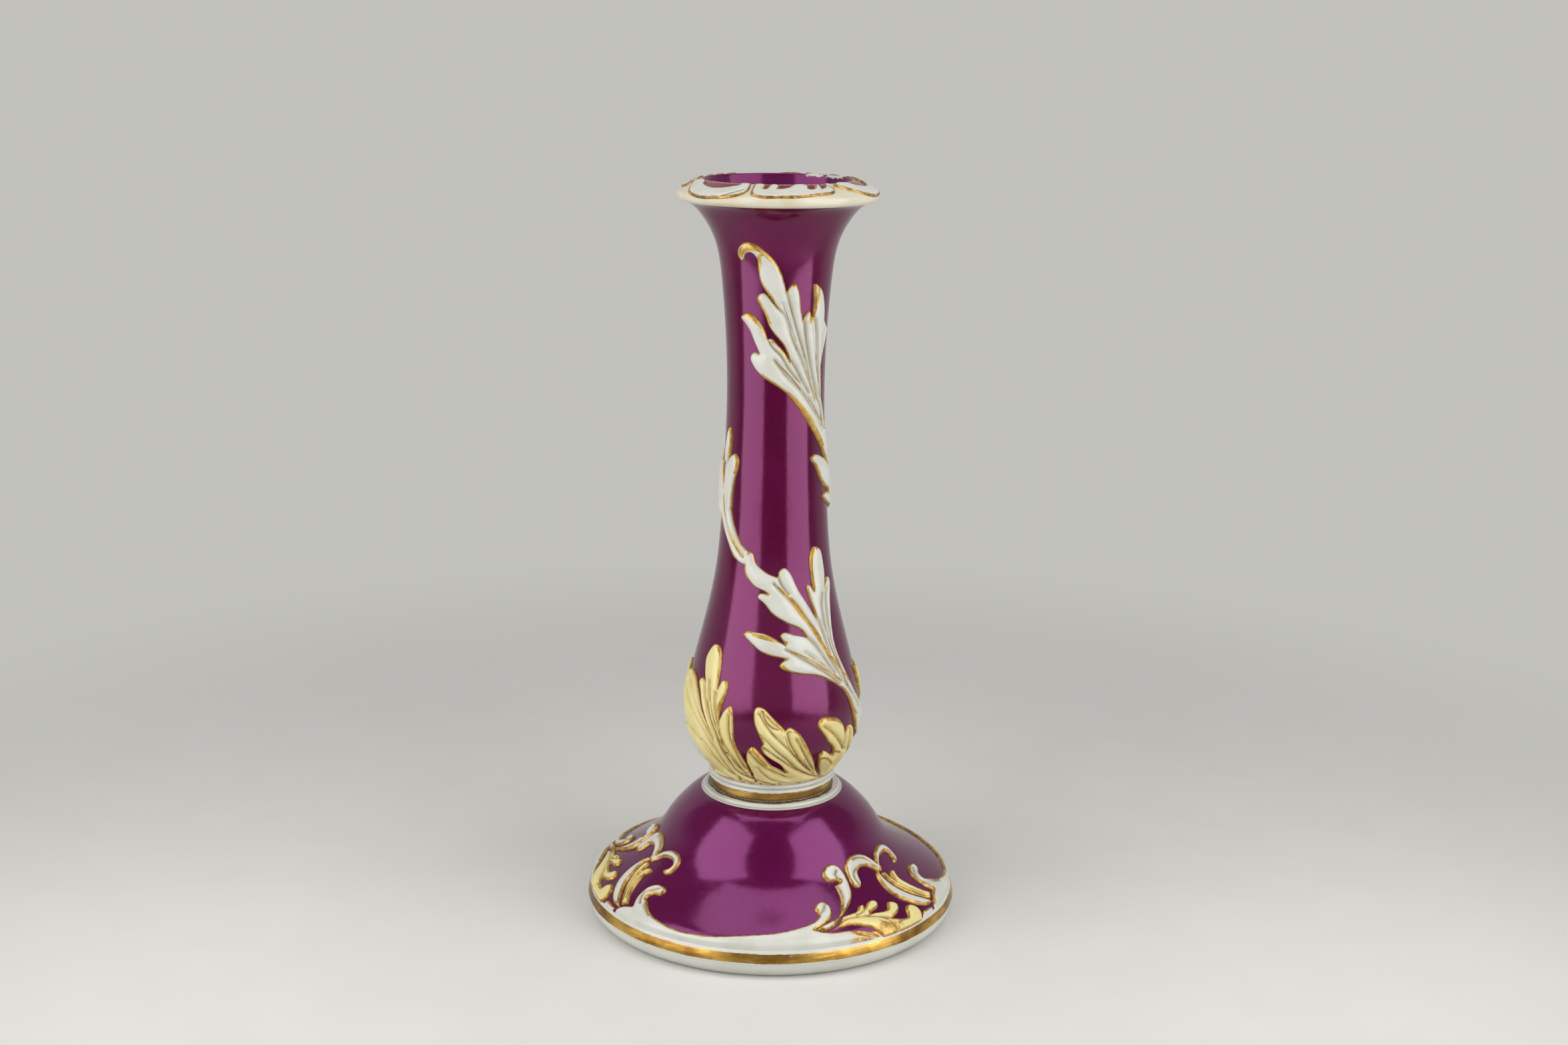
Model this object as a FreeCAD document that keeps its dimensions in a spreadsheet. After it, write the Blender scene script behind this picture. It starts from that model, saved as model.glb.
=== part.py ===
import FreeCAD, Part
import math
import os
import Sketcher

# Porcelain candlestick with rocaille ornament. The foot and the stem are two hollow castings, joined
# by a spigot and cement. The axis is Z, and the candlestick stands on Z = 0 with its front to -Y.
# Lengths are in millimetres. Angles are in degrees, counted from the front towards +X.

sizes = {
    # foot casting: widest edge, unglazed foot ring inside it, and how far the neck passes the collar
    "foot_rise": 40.3,
    "foot_edge_radius": 60.2,
    "foot_edge_height": 3.0,
    "foot_ring_inset": 3.6,
    "foot_ring_width": 4.0,
    "foot_neck_step": 0.7,
    "foot_wall": 4.0,
    # gilt band on the foot: its lower and upper edge, and the thickness of all gilding
    "foot_gilt_low": 5.15,
    "foot_gilt_high": 8.5,
    "gilt_thickness": 0.2,
    # collar on the foot
    "collar_radius": 22.2,
    "collar_thickness": 1.3,
    "collar_bulge_width": 0.5,
    # spigot of the stem, and the cement round it and under the stem
    "spigot_radius": 14.6,
    "spigot_wall": 3.2,
    "spigot_length": 5.5,
    "cement_thickness": 0.5,
    "cement_spread_width": 0.6,
    "cement_gap": 0.05,
    # stem casting: base, bulb, waist and lip, with heights counted from the base; the lip passes the funnel
    "stem_base_radius": 19.1,
    "bulb_radius": 28.6,
    "bulb_height": 22.9,
    "waist_radius": 14.9,
    "waist_height": 125.9,
    "lip_width": 4.6,
    "lip_height": 187.4,
    "stem_wall": 4.0,
    # gilt band and beaded ring at the base of the stem
    "band_gap": 0.1,
    "stem_gilt_width": 2.1,
    "ring_width": 3.2,
    "ring_thickness": 0.35,
    "bead_rise": 0.5,
    # candle nozzle: socket for the candle and funnel to the mouth, with depths counted from the lip
    "socket_radius": 11.2,
    "socket_wall": 2.1,
    "socket_floor": 3.0,
    "nozzle_length": 46.5,
    "nozzle_gap": 0.1,
    "funnel_depth": 18.5,
    "throat_depth": 15.5,
    "mouth_radius": 22.0,
    "funnel_wall": 2.6,
    # moulded rim: it passes the lip outside, and its top edge lies round the mouth
    "rim_overhang_width": 1.8,
    "rim_rise": 6.5,
    "rim_edge_width": 1.2,
    # ornament: how far it stands out, and the gap of glaze under it
    "relief_gap": 0.05,
    "stem_relief_thickness": 1.2,
    "foot_relief_thickness": 1.0,
    "ball_relief_thickness": 1.3,
    "rim_relief_thickness": 0.55,
}

# Profiles. Each point gives the share of the way from one radius to the next and the share of the
# height between them. The points are the poles of a smooth curve.
foot_ring_shares = [(0, 0), (0.417, 0.267), (1, 1)]
foot_dome_shares = [(0.019, 0.107), (0.07, 0.214), (0.193, 0.295), (0.383, 0.402), (0.611, 0.563),
                    (0.708, 0.751), (0.861, 0.912), (0.944, 0.981), (1, 1)]
stem_base_shares = [(0, 0), (0.01, 0.105), (0.01, 0.3), (0.59, 0.565), (1, 1)]
stem_bulb_shares = [(0.117, 0.126), (0.453, 0.291), (0.818, 0.495), (0.898, 0.748), (1, 1)]
stem_lip_shares = [(0.049, 0.358), (0.14, 0.618), (0.238, 0.797), (0.552, 0.927), (0.811, 0.992), (1, 1)]
funnel_shares = [(0, 0), (0, 0.297), (0.283, 0.568), (0.796, 0.908), (1, 1)]
throat_shares = [(0, 0), (0, 0.194), (0.213, 0.419), (0.722, 0.806), (1, 1)]
rim_shares = [(0.795, 0), (0.955, 0.06), (1, 0.2), (1, 0.42), (0.8, 0.57), (0.5, 0.74), (0.2, 0.93),
              (0, 1)]
rim_edge_shares = [(1, 1), (0.58, 1), (0.33, 0.8), (0, 0)]

# Outlines of the ornament, as they lie on the surface. Each point gives an angle and a share of the
# height that the ornament's body has for it. Each row is one smooth stroke, with a sharp corner at
# its ends, and starts where the row before it ends.
upper_leaf_shares = [
    [(155, 0.405), (137, 0.416), (127, 0.438), (118.6, 0.456), (110, 0.473), (101.4, 0.482),
     (90, 0.49), (80, 0.497), (71.4, 0.503), (66, 0.51), (63.5, 0.515)],
    [(63.5, 0.515), (68, 0.52), (76, 0.519), (84, 0.516)],
    [(84, 0.516), (77, 0.526), (70, 0.53), (62.4, 0.539), (55.2, 0.555), (49.6, 0.572), (45.5, 0.578),
     (43.2, 0.585)],
    [(43.2, 0.585), (50, 0.59), (60, 0.585), (71, 0.576), (80, 0.565)],
    [(80, 0.565), (71.4, 0.58), (61.4, 0.6), (42.9, 0.639), (24.3, 0.674), (10, 0.698), (-5.7, 0.713),
     (-21.4, 0.731), (-27.1, 0.742), (-29.1, 0.755), (-25, 0.762), (-18.6, 0.76)],
    [(-18.6, 0.76), (-25.7, 0.784), (-32.9, 0.804), (-39.8, 0.819), (-32.9, 0.826), (-22.9, 0.82),
     (-12.9, 0.801), (-9.1, 0.784)],
    [(-9.1, 0.784), (-6, 0.785), (1.4, 0.777), (8.6, 0.766), (15.7, 0.747)],
    [(15.7, 0.747), (10, 0.77), (1.4, 0.787), (-7.1, 0.804), (-14.3, 0.831), (-19.5, 0.855),
     (-14.3, 0.86), (-5.7, 0.849), (1.4, 0.836)],
    [(1.4, 0.836), (-7.1, 0.855), (-15.7, 0.875), (-18.3, 0.898), (-18.5, 0.914)],
    [(-18.5, 0.914), (-24, 0.924), (-30, 0.92), (-33.8, 0.91), (-37.6, 0.915), (-37.2, 0.93),
     (-31, 0.94), (-22.5, 0.941), (-12.5, 0.93), (-4.3, 0.917), (2.9, 0.899), (10.4, 0.861)],
    [(10.4, 0.861), (14, 0.871), (18.6, 0.876), (23.5, 0.865), (26.5, 0.84), (29.3, 0.813)],
    [(29.3, 0.813), (33, 0.826), (37, 0.83), (40, 0.822), (42.2, 0.816)],
    [(42.2, 0.816), (43.5, 0.832), (42.2, 0.859), (42.6, 0.872), (50, 0.867), (57, 0.85),
     (60.8, 0.827), (61.3, 0.813)],
    [(61.3, 0.813), (64.5, 0.806), (68.6, 0.802), (68, 0.784), (64, 0.76), (61.6, 0.731), (62, 0.704),
     (66, 0.672), (71, 0.64), (76, 0.608), (80, 0.584), (90, 0.562), (100, 0.538), (108, 0.517)],
    [(108, 0.517), (112, 0.544), (110.5, 0.576), (113, 0.613), (118.6, 0.631), (122, 0.616),
     (121.5, 0.592), (118.6, 0.572)],
    [(118.6, 0.572), (124.3, 0.585), (130, 0.589), (135.3, 0.582), (134.6, 0.562), (130.7, 0.544),
     (128.6, 0.521), (127.4, 0.494)],
    [(127.4, 0.494), (131.4, 0.476), (137.1, 0.458), (144.3, 0.441), (155, 0.43)],
    [(155, 0.43), (157.5, 0.418), (155, 0.405)],
]
lower_leaf_shares = [
    [(74.3, 0.105), (68.6, 0.13), (64.3, 0.157), (58.6, 0.184), (50.7, 0.202), (41.4, 0.216),
     (31.4, 0.227), (18.6, 0.233), (10, 0.239), (5.1, 0.248), (7.1, 0.253), (11.1, 0.257)],
    [(11.1, 0.257), (2.9, 0.261), (-7.1, 0.267), (-15.7, 0.279), (-21.7, 0.288), (-24.6, 0.294),
     (-22.1, 0.3), (-17.1, 0.301), (-10, 0.299), (-1.4, 0.294), (4.6, 0.287), (10, 0.28)],
    [(10, 0.28), (7.1, 0.289), (5.9, 0.295), (8, 0.3), (15.7, 0.297), (22.9, 0.293), (28, 0.289)],
    [(28, 0.289), (22.9, 0.304), (15.7, 0.311), (7.1, 0.32), (-1.4, 0.331), (-10, 0.349),
     (-14.6, 0.358), (-12.6, 0.363), (-8.3, 0.363), (-4.3, 0.362)],
    [(-4.3, 0.362), (-9.3, 0.367), (-16.4, 0.372), (-22.9, 0.38), (-28.3, 0.391), (-30, 0.404),
     (-29.3, 0.422), (-25.7, 0.431), (-21.4, 0.426), (-19.3, 0.416), (-12.9, 0.404), (-4.3, 0.395),
     (4.4, 0.39)],
    [(4.4, 0.39), (5.7, 0.401), (10, 0.406), (15.7, 0.399), (20, 0.384), (24.3, 0.367), (30, 0.349),
     (35.7, 0.329), (39.1, 0.316)],
    [(39.1, 0.316), (35.7, 0.343), (32.9, 0.362), (32.3, 0.371), (34, 0.376), (36.6, 0.372),
     (39.7, 0.363)],
    [(39.7, 0.363), (39, 0.378), (38.4, 0.396), (39.3, 0.422), (45, 0.435), (51.4, 0.432), (56, 0.41),
     (56.9, 0.39), (54, 0.365)],
    [(54, 0.365), (57.9, 0.375), (62.6, 0.38), (64.3, 0.372), (62.1, 0.355), (58.6, 0.331),
     (55.7, 0.303), (55, 0.274), (57.1, 0.251), (61.4, 0.223), (67.1, 0.194), (74.3, 0.167),
     (80, 0.153), (90, 0.125), (100, 0.098), (110, 0.074), (116, 0.053)],
    [(116, 0.053), (106, 0.053), (96, 0.066), (86, 0.085), (80, 0.097), (74.3, 0.105)],
]
calyx_a_shares = [
    [(-27.6, 0.033), (-30.8, 0.046), (-36, 0.069), (-42.5, 0.118), (-52, 0.154), (-60, 0.186),
     (-68, 0.205), (-78, 0.21), (-88, 0.202), (-97, 0.216), (-92, 0.181), (-84, 0.152), (-80, 0.136)],
    [(-80, 0.136), (-76.5, 0.115), (-71, 0.096), (-65.5, 0.08), (-62, 0.061), (-61.2, 0.046),
     (-59.5, 0.033)],
    [(-59.5, 0.033), (-27.6, 0.033)],
]
calyx_b_shares = [
    [(-13.2, 0.033), (-15.9, 0.047), (-17, 0.064), (-20, 0.085), (-24.5, 0.112), (-25.3, 0.138),
     (-26, 0.157), (-28.6, 0.177), (-32, 0.169), (-35, 0.154), (-36.5, 0.144)],
    [(-36.5, 0.144), (-35, 0.17), (-32.6, 0.192), (-31.8, 0.209), (-33.8, 0.217), (-36.2, 0.216),
     (-37.9, 0.21), (-39.2, 0.199)],
    [(-39.2, 0.199), (-39.7, 0.213), (-40.2, 0.232), (-41.2, 0.25), (-44, 0.265), (-49, 0.269),
     (-54, 0.258), (-56.6, 0.241), (-55.6, 0.229), (-53.9, 0.216), (-51.5, 0.203)],
    [(-51.5, 0.203), (-54.2, 0.207), (-57, 0.209), (-58.9, 0.204), (-57, 0.192), (-53, 0.17),
     (-47, 0.141), (-42.4, 0.114), (-38, 0.085), (-34, 0.061), (-30.3, 0.044), (-27, 0.033)],
    [(-27, 0.033), (-13.2, 0.033)],
]
calyx_c_shares = [
    [(47.4, 0.033), (43.4, 0.044), (38, 0.055), (32, 0.077), (26, 0.101), (20, 0.128), (15, 0.141),
     (11, 0.146), (9, 0.14)],
    [(9, 0.14), (4, 0.154), (-2, 0.17), (-6, 0.179), (-10, 0.18), (-12, 0.168), (-11, 0.149),
     (-8, 0.13), (-5.5, 0.117)],
    [(-5.5, 0.117), (-7, 0.109), (-5, 0.099), (0, 0.088), (5, 0.08), (9, 0.067), (11, 0.058)],
    [(11, 0.058), (5, 0.066), (0, 0.074), (-4, 0.088), (-8, 0.101), (-13, 0.11), (-16.5, 0.101),
     (-17.5, 0.08), (-15.8, 0.064), (-14.8, 0.047), (-12.4, 0.033)],
    [(-12.4, 0.033), (47.4, 0.033)],
]
calyx_d_shares = [
    [(48.4, 0.033), (45.2, 0.044), (40, 0.058), (36.2, 0.074), (35.2, 0.088), (38, 0.093), (43, 0.088),
     (48, 0.081)],
    [(48, 0.081), (45, 0.098), (40, 0.109), (35, 0.126), (31, 0.146), (33, 0.154), (40, 0.154),
     (47, 0.149), (52, 0.136), (55.5, 0.115)],
    [(55.5, 0.115), (58.5, 0.124), (62, 0.127), (65.5, 0.12), (69, 0.106), (72.5, 0.091), (76, 0.078),
     (79.5, 0.065), (81.6, 0.054), (83.2, 0.033)],
    [(83.2, 0.033), (48.4, 0.033)],
]
border_scroll_shares = [
    [(-56.6, 0), (-56.3, 0.044), (-53.9, 0.097), (-50.5, 0.123)],
    [(-50.5, 0.123), (-52, 0.167), (-52.5, 0.208), (-52.3, 0.239), (-51, 0.27), (-48.6, 0.292),
     (-46.1, 0.296), (-43.9, 0.286), (-43.5, 0.264), (-44.9, 0.239), (-47, 0.233), (-48.3, 0.217),
     (-48.3, 0.195), (-47, 0.186)],
    [(-47, 0.186), (-45.3, 0.164), (-43, 0.138), (-39.7, 0.116), (-35.5, 0.101), (-30.6, 0.088),
     (-25.1, 0.088), (-19.3, 0.091), (-9.3, 0.116), (0, 0.135), (5, 0.148), (10, 0.167), (14.6, 0.189),
     (17.1, 0.217), (17.7, 0.239)],
    [(17.7, 0.239), (16.8, 0.255), (16.8, 0.277), (18, 0.296), (20, 0.305), (21.8, 0.292), (23, 0.264),
     (22.8, 0.233), (21.8, 0.204), (19.8, 0.179), (17.1, 0.157), (14.8, 0.145)],
    [(14.8, 0.145), (19.2, 0.119), (25, 0.113), (30, 0.094), (34.2, 0.05), (36, 0)],
    [(36, 0), (10, 0), (-20, 0), (-56.6, 0)],
]
ball_scroll_shares = [
    [(15.2, 0.145), (20, 0.179), (24.2, 0.201), (26.7, 0.248), (28.3, 0.302), (28.8, 0.352),
     (28.6, 0.39)],
    [(28.6, 0.39), (30.4, 0.396), (31.5, 0.409), (29.3, 0.415), (26.2, 0.425), (24.7, 0.475),
     (26, 0.519), (28.8, 0.544), (32.1, 0.541), (34.8, 0.494), (35.6, 0.431), (35, 0.358),
     (33.2, 0.296), (30.2, 0.252), (27.3, 0.217), (25.2, 0.198)],
    [(25.2, 0.198), (21.8, 0.154), (18.3, 0.129), (15.2, 0.145)],
]
feather_leaf_shares = [
    [(25.7, 0.198), (28.8, 0.204), (32.1, 0.214), (34.3, 0.239), (35.8, 0.233), (35.5, 0.217)],
    [(35.5, 0.217), (37.3, 0.236), (39.2, 0.248), (41, 0.242), (41.6, 0.223), (40.8, 0.201),
     (38.8, 0.189), (36.3, 0.182)],
    [(36.3, 0.182), (38.8, 0.173), (41.5, 0.167), (43.7, 0.173), (44.5, 0.189), (45.7, 0.204),
     (47.8, 0.195), (48.7, 0.173), (47.8, 0.145), (45.4, 0.123), (42.9, 0.113)],
    [(42.9, 0.113), (46.2, 0.088), (49.3, 0.088), (50.2, 0.126), (52.1, 0.145), (54.3, 0.129),
     (55.5, 0.082), (54.8, 0.025), (53.8, -0.003)],
    [(53.8, -0.003), (45, -0.003), (36.7, -0.003)],
    [(36.7, -0.003), (35.8, 0.044), (33.8, 0.091), (30.4, 0.126), (26.7, 0.142), (23.3, 0.138),
     (20.5, 0.132)],
    [(20.5, 0.132), (22.9, 0.151), (25.7, 0.198)],
]
border_end_shares = [
    [(55.3, 0), (56.7, 0.053), (59.5, 0.057), (62.3, 0.044)],
    [(62.3, 0.044), (61.8, 0)],
    [(61.8, 0), (58.3, 0), (55.3, 0)],
]
crest_scroll_shares = [
    [(64.3, 0.072), (60.7, 0.072), (56.7, 0.113), (53.2, 0.167), (50.8, 0.223), (49.9, 0.283),
     (50.3, 0.333), (51.6, 0.374), (53.4, 0.396)],
    [(53.4, 0.396), (51.7, 0.425), (49.2, 0.453), (46.2, 0.459), (44, 0.447), (42.3, 0.415),
     (41.7, 0.381), (40.3, 0.346), (38.2, 0.343), (36.5, 0.368), (36.5, 0.425), (37.5, 0.491),
     (40.2, 0.544), (44.2, 0.566), (48.5, 0.563), (52.5, 0.528), (55.2, 0.478), (56.3, 0.437)],
    [(56.3, 0.437), (57.8, 0.472), (61, 0.513), (65.8, 0.531), (70.2, 0.519), (72.7, 0.478),
     (72.9, 0.421), (71.4, 0.374), (69.2, 0.362), (67.3, 0.374), (69, 0.399), (69.8, 0.434),
     (68.3, 0.459), (65, 0.465), (61, 0.45), (58.3, 0.415), (56.3, 0.374)],
    [(56.3, 0.374), (54.2, 0.381), (53.3, 0.343), (53.8, 0.292), (55.2, 0.239), (58.3, 0.173),
     (61.7, 0.119), (64.3, 0.072)],
]
bud_leaf_shares = [
    [(64.3, 0.091), (61.2, 0.145), (57.5, 0.208), (54.8, 0.277), (54.1, 0.343), (55, 0.368),
     (56.4, 0.362), (57.2, 0.321), (57.7, 0.283)],
    [(57.7, 0.283), (58.3, 0.327), (60.2, 0.349), (61.8, 0.343), (60.8, 0.302), (61.2, 0.252),
     (63.2, 0.192), (66.7, 0.123)],
    [(66.7, 0.123), (64.3, 0.091)],
]
cartouche_shares = [
    [(-79, 0.908), (-76, 0.815), (-71, 0.708), (-65, 0.569), (-59.5, 0.446), (-54, 0.354),
     (-47.5, 0.308), (-40, 0.323), (-33, 0.369), (-27, 0.423), (-22, 0.523), (-18.8, 0.646),
     (-18, 0.8), (-18.8, 0.977)],
    [(-18.8, 0.977), (-24, 0.985), (-28, 0.962)],
    [(-28, 0.962), (-26.6, 0.915), (-28.6, 0.877), (-33.8, 0.815), (-39.8, 0.762), (-45.2, 0.754),
     (-52, 0.8), (-57.5, 0.862), (-61.5, 0.954)],
    [(-61.5, 0.954), (-67, 0.985), (-74, 0.977), (-79, 0.908)],
]
leaf_scroll_shares = [
    [(-16.4, 0.877), (-16.2, 0.723), (-15, 0.569), (-11.5, 0.485), (-5.8, 0.446), (1.2, 0.462),
     (8.5, 0.462), (16, 0.492), (24.2, 0.546), (33, 0.585), (37, 0.662), (39, 0.785), (39.8, 0.954)],
    [(39.8, 0.954), (37.5, 0.985), (34, 0.969)],
    [(34, 0.969), (31.8, 0.846), (29.4, 0.792)],
    [(29.4, 0.792), (29.8, 0.877), (28.6, 0.954), (26.4, 0.938), (25, 0.846)],
    [(25, 0.846), (22.6, 0.785), (20.2, 0.8)],
    [(20.2, 0.8), (21, 0.892), (19.2, 0.962), (15, 0.977), (10.8, 0.954), (8, 0.877)],
    [(8, 0.877), (4.2, 0.823), (0.5, 0.808)],
    [(0.5, 0.808), (1.4, 0.892), (0, 0.962), (-3.3, 0.969), (-5.5, 0.923), (-6.5, 0.846)],
    [(-6.5, 0.846), (-7.6, 0.792), (-8.8, 0.808)],
    [(-8.8, 0.808), (-8.2, 0.908), (-9.4, 0.969), (-12.6, 0.985), (-15.6, 0.969), (-16.4, 0.877)],
]

doc = FreeCAD.newDocument("candlestick")
sheet = doc.addObject("Spreadsheet::Sheet", "Sizes")
for row, (name, value) in enumerate(sizes.items(), 1):
    sheet.set("A%d" % row, name)
    sheet.set("B%d" % row, str(value))
    sheet.setAlias("B%d" % row, name)
doc.recompute()


class Size:
    # A length with the spreadsheet formula that gives it, so that a sum of sizes stays a formula.
    def __init__(self, value, formula):
        self.value = float(value)
        self.formula = formula

    def __add__(self, other):
        return Size(self.value + other.value, "(%s + %s)" % (self.formula, other.formula))

    def __sub__(self, other):
        return Size(self.value - other.value, "(%s - %s)" % (self.formula, other.formula))

    def __mul__(self, share):
        return Size(self.value * share, "%s * %.9f" % (self.formula, share))


def size(name):
    return Size(sheet.get(name), "Sizes." + name)


def between(start, end, shares):
    # Points on the way from one (radius, height) to another.
    across = end[0] - start[0]
    rise = end[1] - start[1]
    return [(start[0] + across * part, start[1] + rise * up) for part, up in shares]


def grown(poles, distance):
    # The same outline moved outwards by a distance, along the normal at each pole.
    moved = []
    for index, (radius, height) in enumerate(poles):
        before = poles[max(index - 1, 0)]
        after = poles[min(index + 1, len(poles) - 1)]
        across = after[0].value - before[0].value
        rise = after[1].value - before[1].value
        length = math.hypot(across, rise)
        moved.append((radius + distance * (rise / length), height - distance * (across / length)))
    return moved


nothing = Size(0, "0")
inwards = -1

# Heights of the seats, from the floor up.
collar_seat = size("foot_rise")
bed_seat = collar_seat + size("collar_thickness")
stem_seat = bed_seat + size("cement_thickness")
lip_seat = stem_seat + size("lip_height")
spigot_end = stem_seat - size("spigot_length")
nozzle_seat = lip_seat - size("nozzle_length")
bore_radius = size("spigot_radius") + size("cement_thickness")
nozzle_radius = size("socket_radius") + size("socket_wall")
foot_ring_radius = size("foot_edge_radius") - size("foot_ring_inset")
foot_neck_radius = size("collar_radius") + size("foot_neck_step")
funnel_radius = size("mouth_radius") + size("funnel_wall")
lip_radius = funnel_radius + size("lip_width")
rim_radius = lip_radius + size("rim_overhang_width")
rim_edge_radius = size("mouth_radius") + size("rim_edge_width")

# Outlines of the bodies, as poles.
foot_ring = (foot_ring_radius, nothing)
foot_edge = (size("foot_edge_radius"), size("foot_edge_height"))
foot_neck = (foot_neck_radius, collar_seat)
foot_poles = between(foot_ring, foot_edge, foot_ring_shares) + between(foot_edge, foot_neck, foot_dome_shares)

stem_base = (size("stem_base_radius"), stem_seat)
stem_bulb = (size("bulb_radius"), stem_seat + size("bulb_height"))
stem_waist = (size("waist_radius"), stem_seat + size("waist_height"))
stem_lip = (lip_radius, lip_seat)
stem_poles = between(stem_base, stem_bulb, stem_base_shares)
stem_poles += between(stem_bulb, stem_waist, stem_bulb_shares)
stem_poles += between(stem_waist, stem_lip, stem_lip_shares)

funnel_start = (nozzle_radius, lip_seat - size("funnel_depth"))
funnel_end = (funnel_radius, lip_seat)
funnel_poles = between(funnel_start, funnel_end, funnel_shares)
throat_start = (size("socket_radius"), lip_seat - size("throat_depth"))
throat_end = (size("mouth_radius"), lip_seat)
throat_poles = between(throat_start, throat_end, throat_shares)

rim_foot = (rim_edge_radius, lip_seat)
rim_top = lip_seat + size("rim_rise")
rim_poles = between(rim_foot, (rim_radius, rim_top), rim_shares)
rim_edge_poles = between(throat_end, (rim_edge_radius, rim_top), rim_edge_shares)

parts = []


def pin(sketch, item, point, place):
    # Holds one point of a sketch at a radius and a height from the sheet.
    for kind, axis, length in (("DistanceX", -2, place[0]), ("DistanceY", -1, place[1])):
        if length.value == 0:
            sketch.addConstraint(Sketcher.Constraint("PointOnObject", item, point, axis))
        else:
            index = sketch.addConstraint(Sketcher.Constraint(kind, -1, 1, item, point, length.value))
            sketch.setExpression("Constraints[%d]" % index, length.formula)


def turned(name, strokes):
    # A body turned about Z. A stroke of two points is a straight line, and a longer one holds the
    # poles of a smooth curve. Each stroke starts where the one before it ends.
    body = doc.addObject("PartDesign::Body", name)
    body.Label = name
    plane = [feature for feature in body.Origin.OriginFeatures if feature.Role == "XZ_Plane"][0]
    sketch = body.newObject("Sketcher::SketchObject", name + "_profile")
    sketch.AttachmentSupport = (plane, "")
    sketch.MapMode = "FlatFace"
    items = []
    for index, stroke in enumerate(strokes):
        points = [FreeCAD.Vector(radius.value, height.value, 0) for radius, height in stroke]
        after = strokes[(index + 1) % len(strokes)]
        if len(stroke) == 2:
            items.append(sketch.addGeometry(Part.LineSegment(points[0], points[1]), False))
            if len(strokes[index - 1]) == 2:
                pin(sketch, items[-1], 1, stroke[0])
            continue
        curve = Part.BSplineCurve(points, None, None, False, 3, None, False)
        items.append(sketch.addGeometry(curve, False))
        sketch.exposeInternalGeometry(items[-1])
        own = stroke if len(after) == 2 else stroke[:-1]
        for pole, place in enumerate(own, 1):
            pin(sketch, items[-1] + pole, 3, place)
    for index, item in enumerate(items):
        sketch.addConstraint(Sketcher.Constraint("Coincident", items[index - 1], 2, item, 1))
    turn = body.newObject("PartDesign::Revolution", name + "_turn")
    turn.Profile = sketch
    turn.ReferenceAxis = (sketch, ["V_Axis"])
    turn.Angle = 360
    sketch.Visibility = False
    parts.append(body)


def meridian(poles):
    # The outline as a curve in the XZ plane. Its parameter runs over as many radians as the outline
    # is mean radii long, so that an outline drawn on the turned surface keeps its proportions.
    spans = len(poles) - 3
    steps = zip(poles, poles[1:])
    length = sum(math.hypot(b[0].value - a[0].value, b[1].value - a[1].value) for a, b in steps)
    turn = length * len(poles) / sum(radius.value for radius, height in poles)
    curve = Part.BSplineCurve()
    points = [FreeCAD.Vector(radius.value, 0, height.value) for radius, height in poles]
    knots = [turn * index / spans for index in range(spans + 1)]
    curve.buildFromPolesMultsKnots(points, [4] + [1] * (spans - 1) + [4], knots, False, 3)
    return curve


def parameter_at(curve, height):
    # The parameter where a rising curve reaches a height, found by halving.
    low = curve.FirstParameter
    high = curve.LastParameter
    for step in range(40):
        middle = (low + high) / 2
        if curve.value(middle).z < height:
            low = middle
        else:
            high = middle
    return (low + high) / 2


def feature(name, shape, turn):
    piece = doc.addObject("Part::Feature", name)
    piece.Label = name
    piece.Shape = shape
    piece.Placement = FreeCAD.Placement(FreeCAD.Vector(), FreeCAD.Rotation(FreeCAD.Vector(0, 0, 1), turn))
    parts.append(piece)


def matched(poles, guide, distance):
    # The meridian moved outwards, with the parameter of the guide.
    curve = meridian(grown(poles, distance))
    points = curve.getPoles()
    result = Part.BSplineCurve()
    result.buildFromPolesMultsKnots(points, guide.getMultiplicities(), guide.getKnots(), False, 3)
    return result


def band(name, poles, low, high, thickness, beads=0):
    # A skin round a body between two heights, smooth or with beads.
    guide = meridian(poles)
    first = parameter_at(guide, low.value)
    last = parameter_at(guide, high.value)
    inner = matched(poles, guide, size("relief_gap"))
    outer = matched(poles, guide, size("relief_gap") + thickness)
    inner.segment(first, last)
    edges = [inner.toShape()]
    corners = [outer.value(first + (last - first) * index / max(beads, 1)) for index in range(beads + 1)]
    for start, end in zip(corners, corners[1:]):
        along = end - start
        out = FreeCAD.Vector(along.z, 0, -along.x).normalize() * size("bead_rise").value
        edges.append(Part.Arc(start, (start + end) / 2 + out, end).toShape())
    if not beads:
        outer.segment(first, last)
        edges.append(outer.toShape())
    edges.append(Part.makeLine(inner.value(first), edges[1].valueAt(edges[1].FirstParameter)))
    edges.append(Part.makeLine(inner.value(last), outer.value(last)))
    wire = Part.Wire(Part.__sortEdges__(edges))
    ring = Part.Face(wire).revolve(FreeCAD.Vector(), FreeCAD.Vector(0, 0, 1), 360)
    feature(name, ring, 0)


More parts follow.
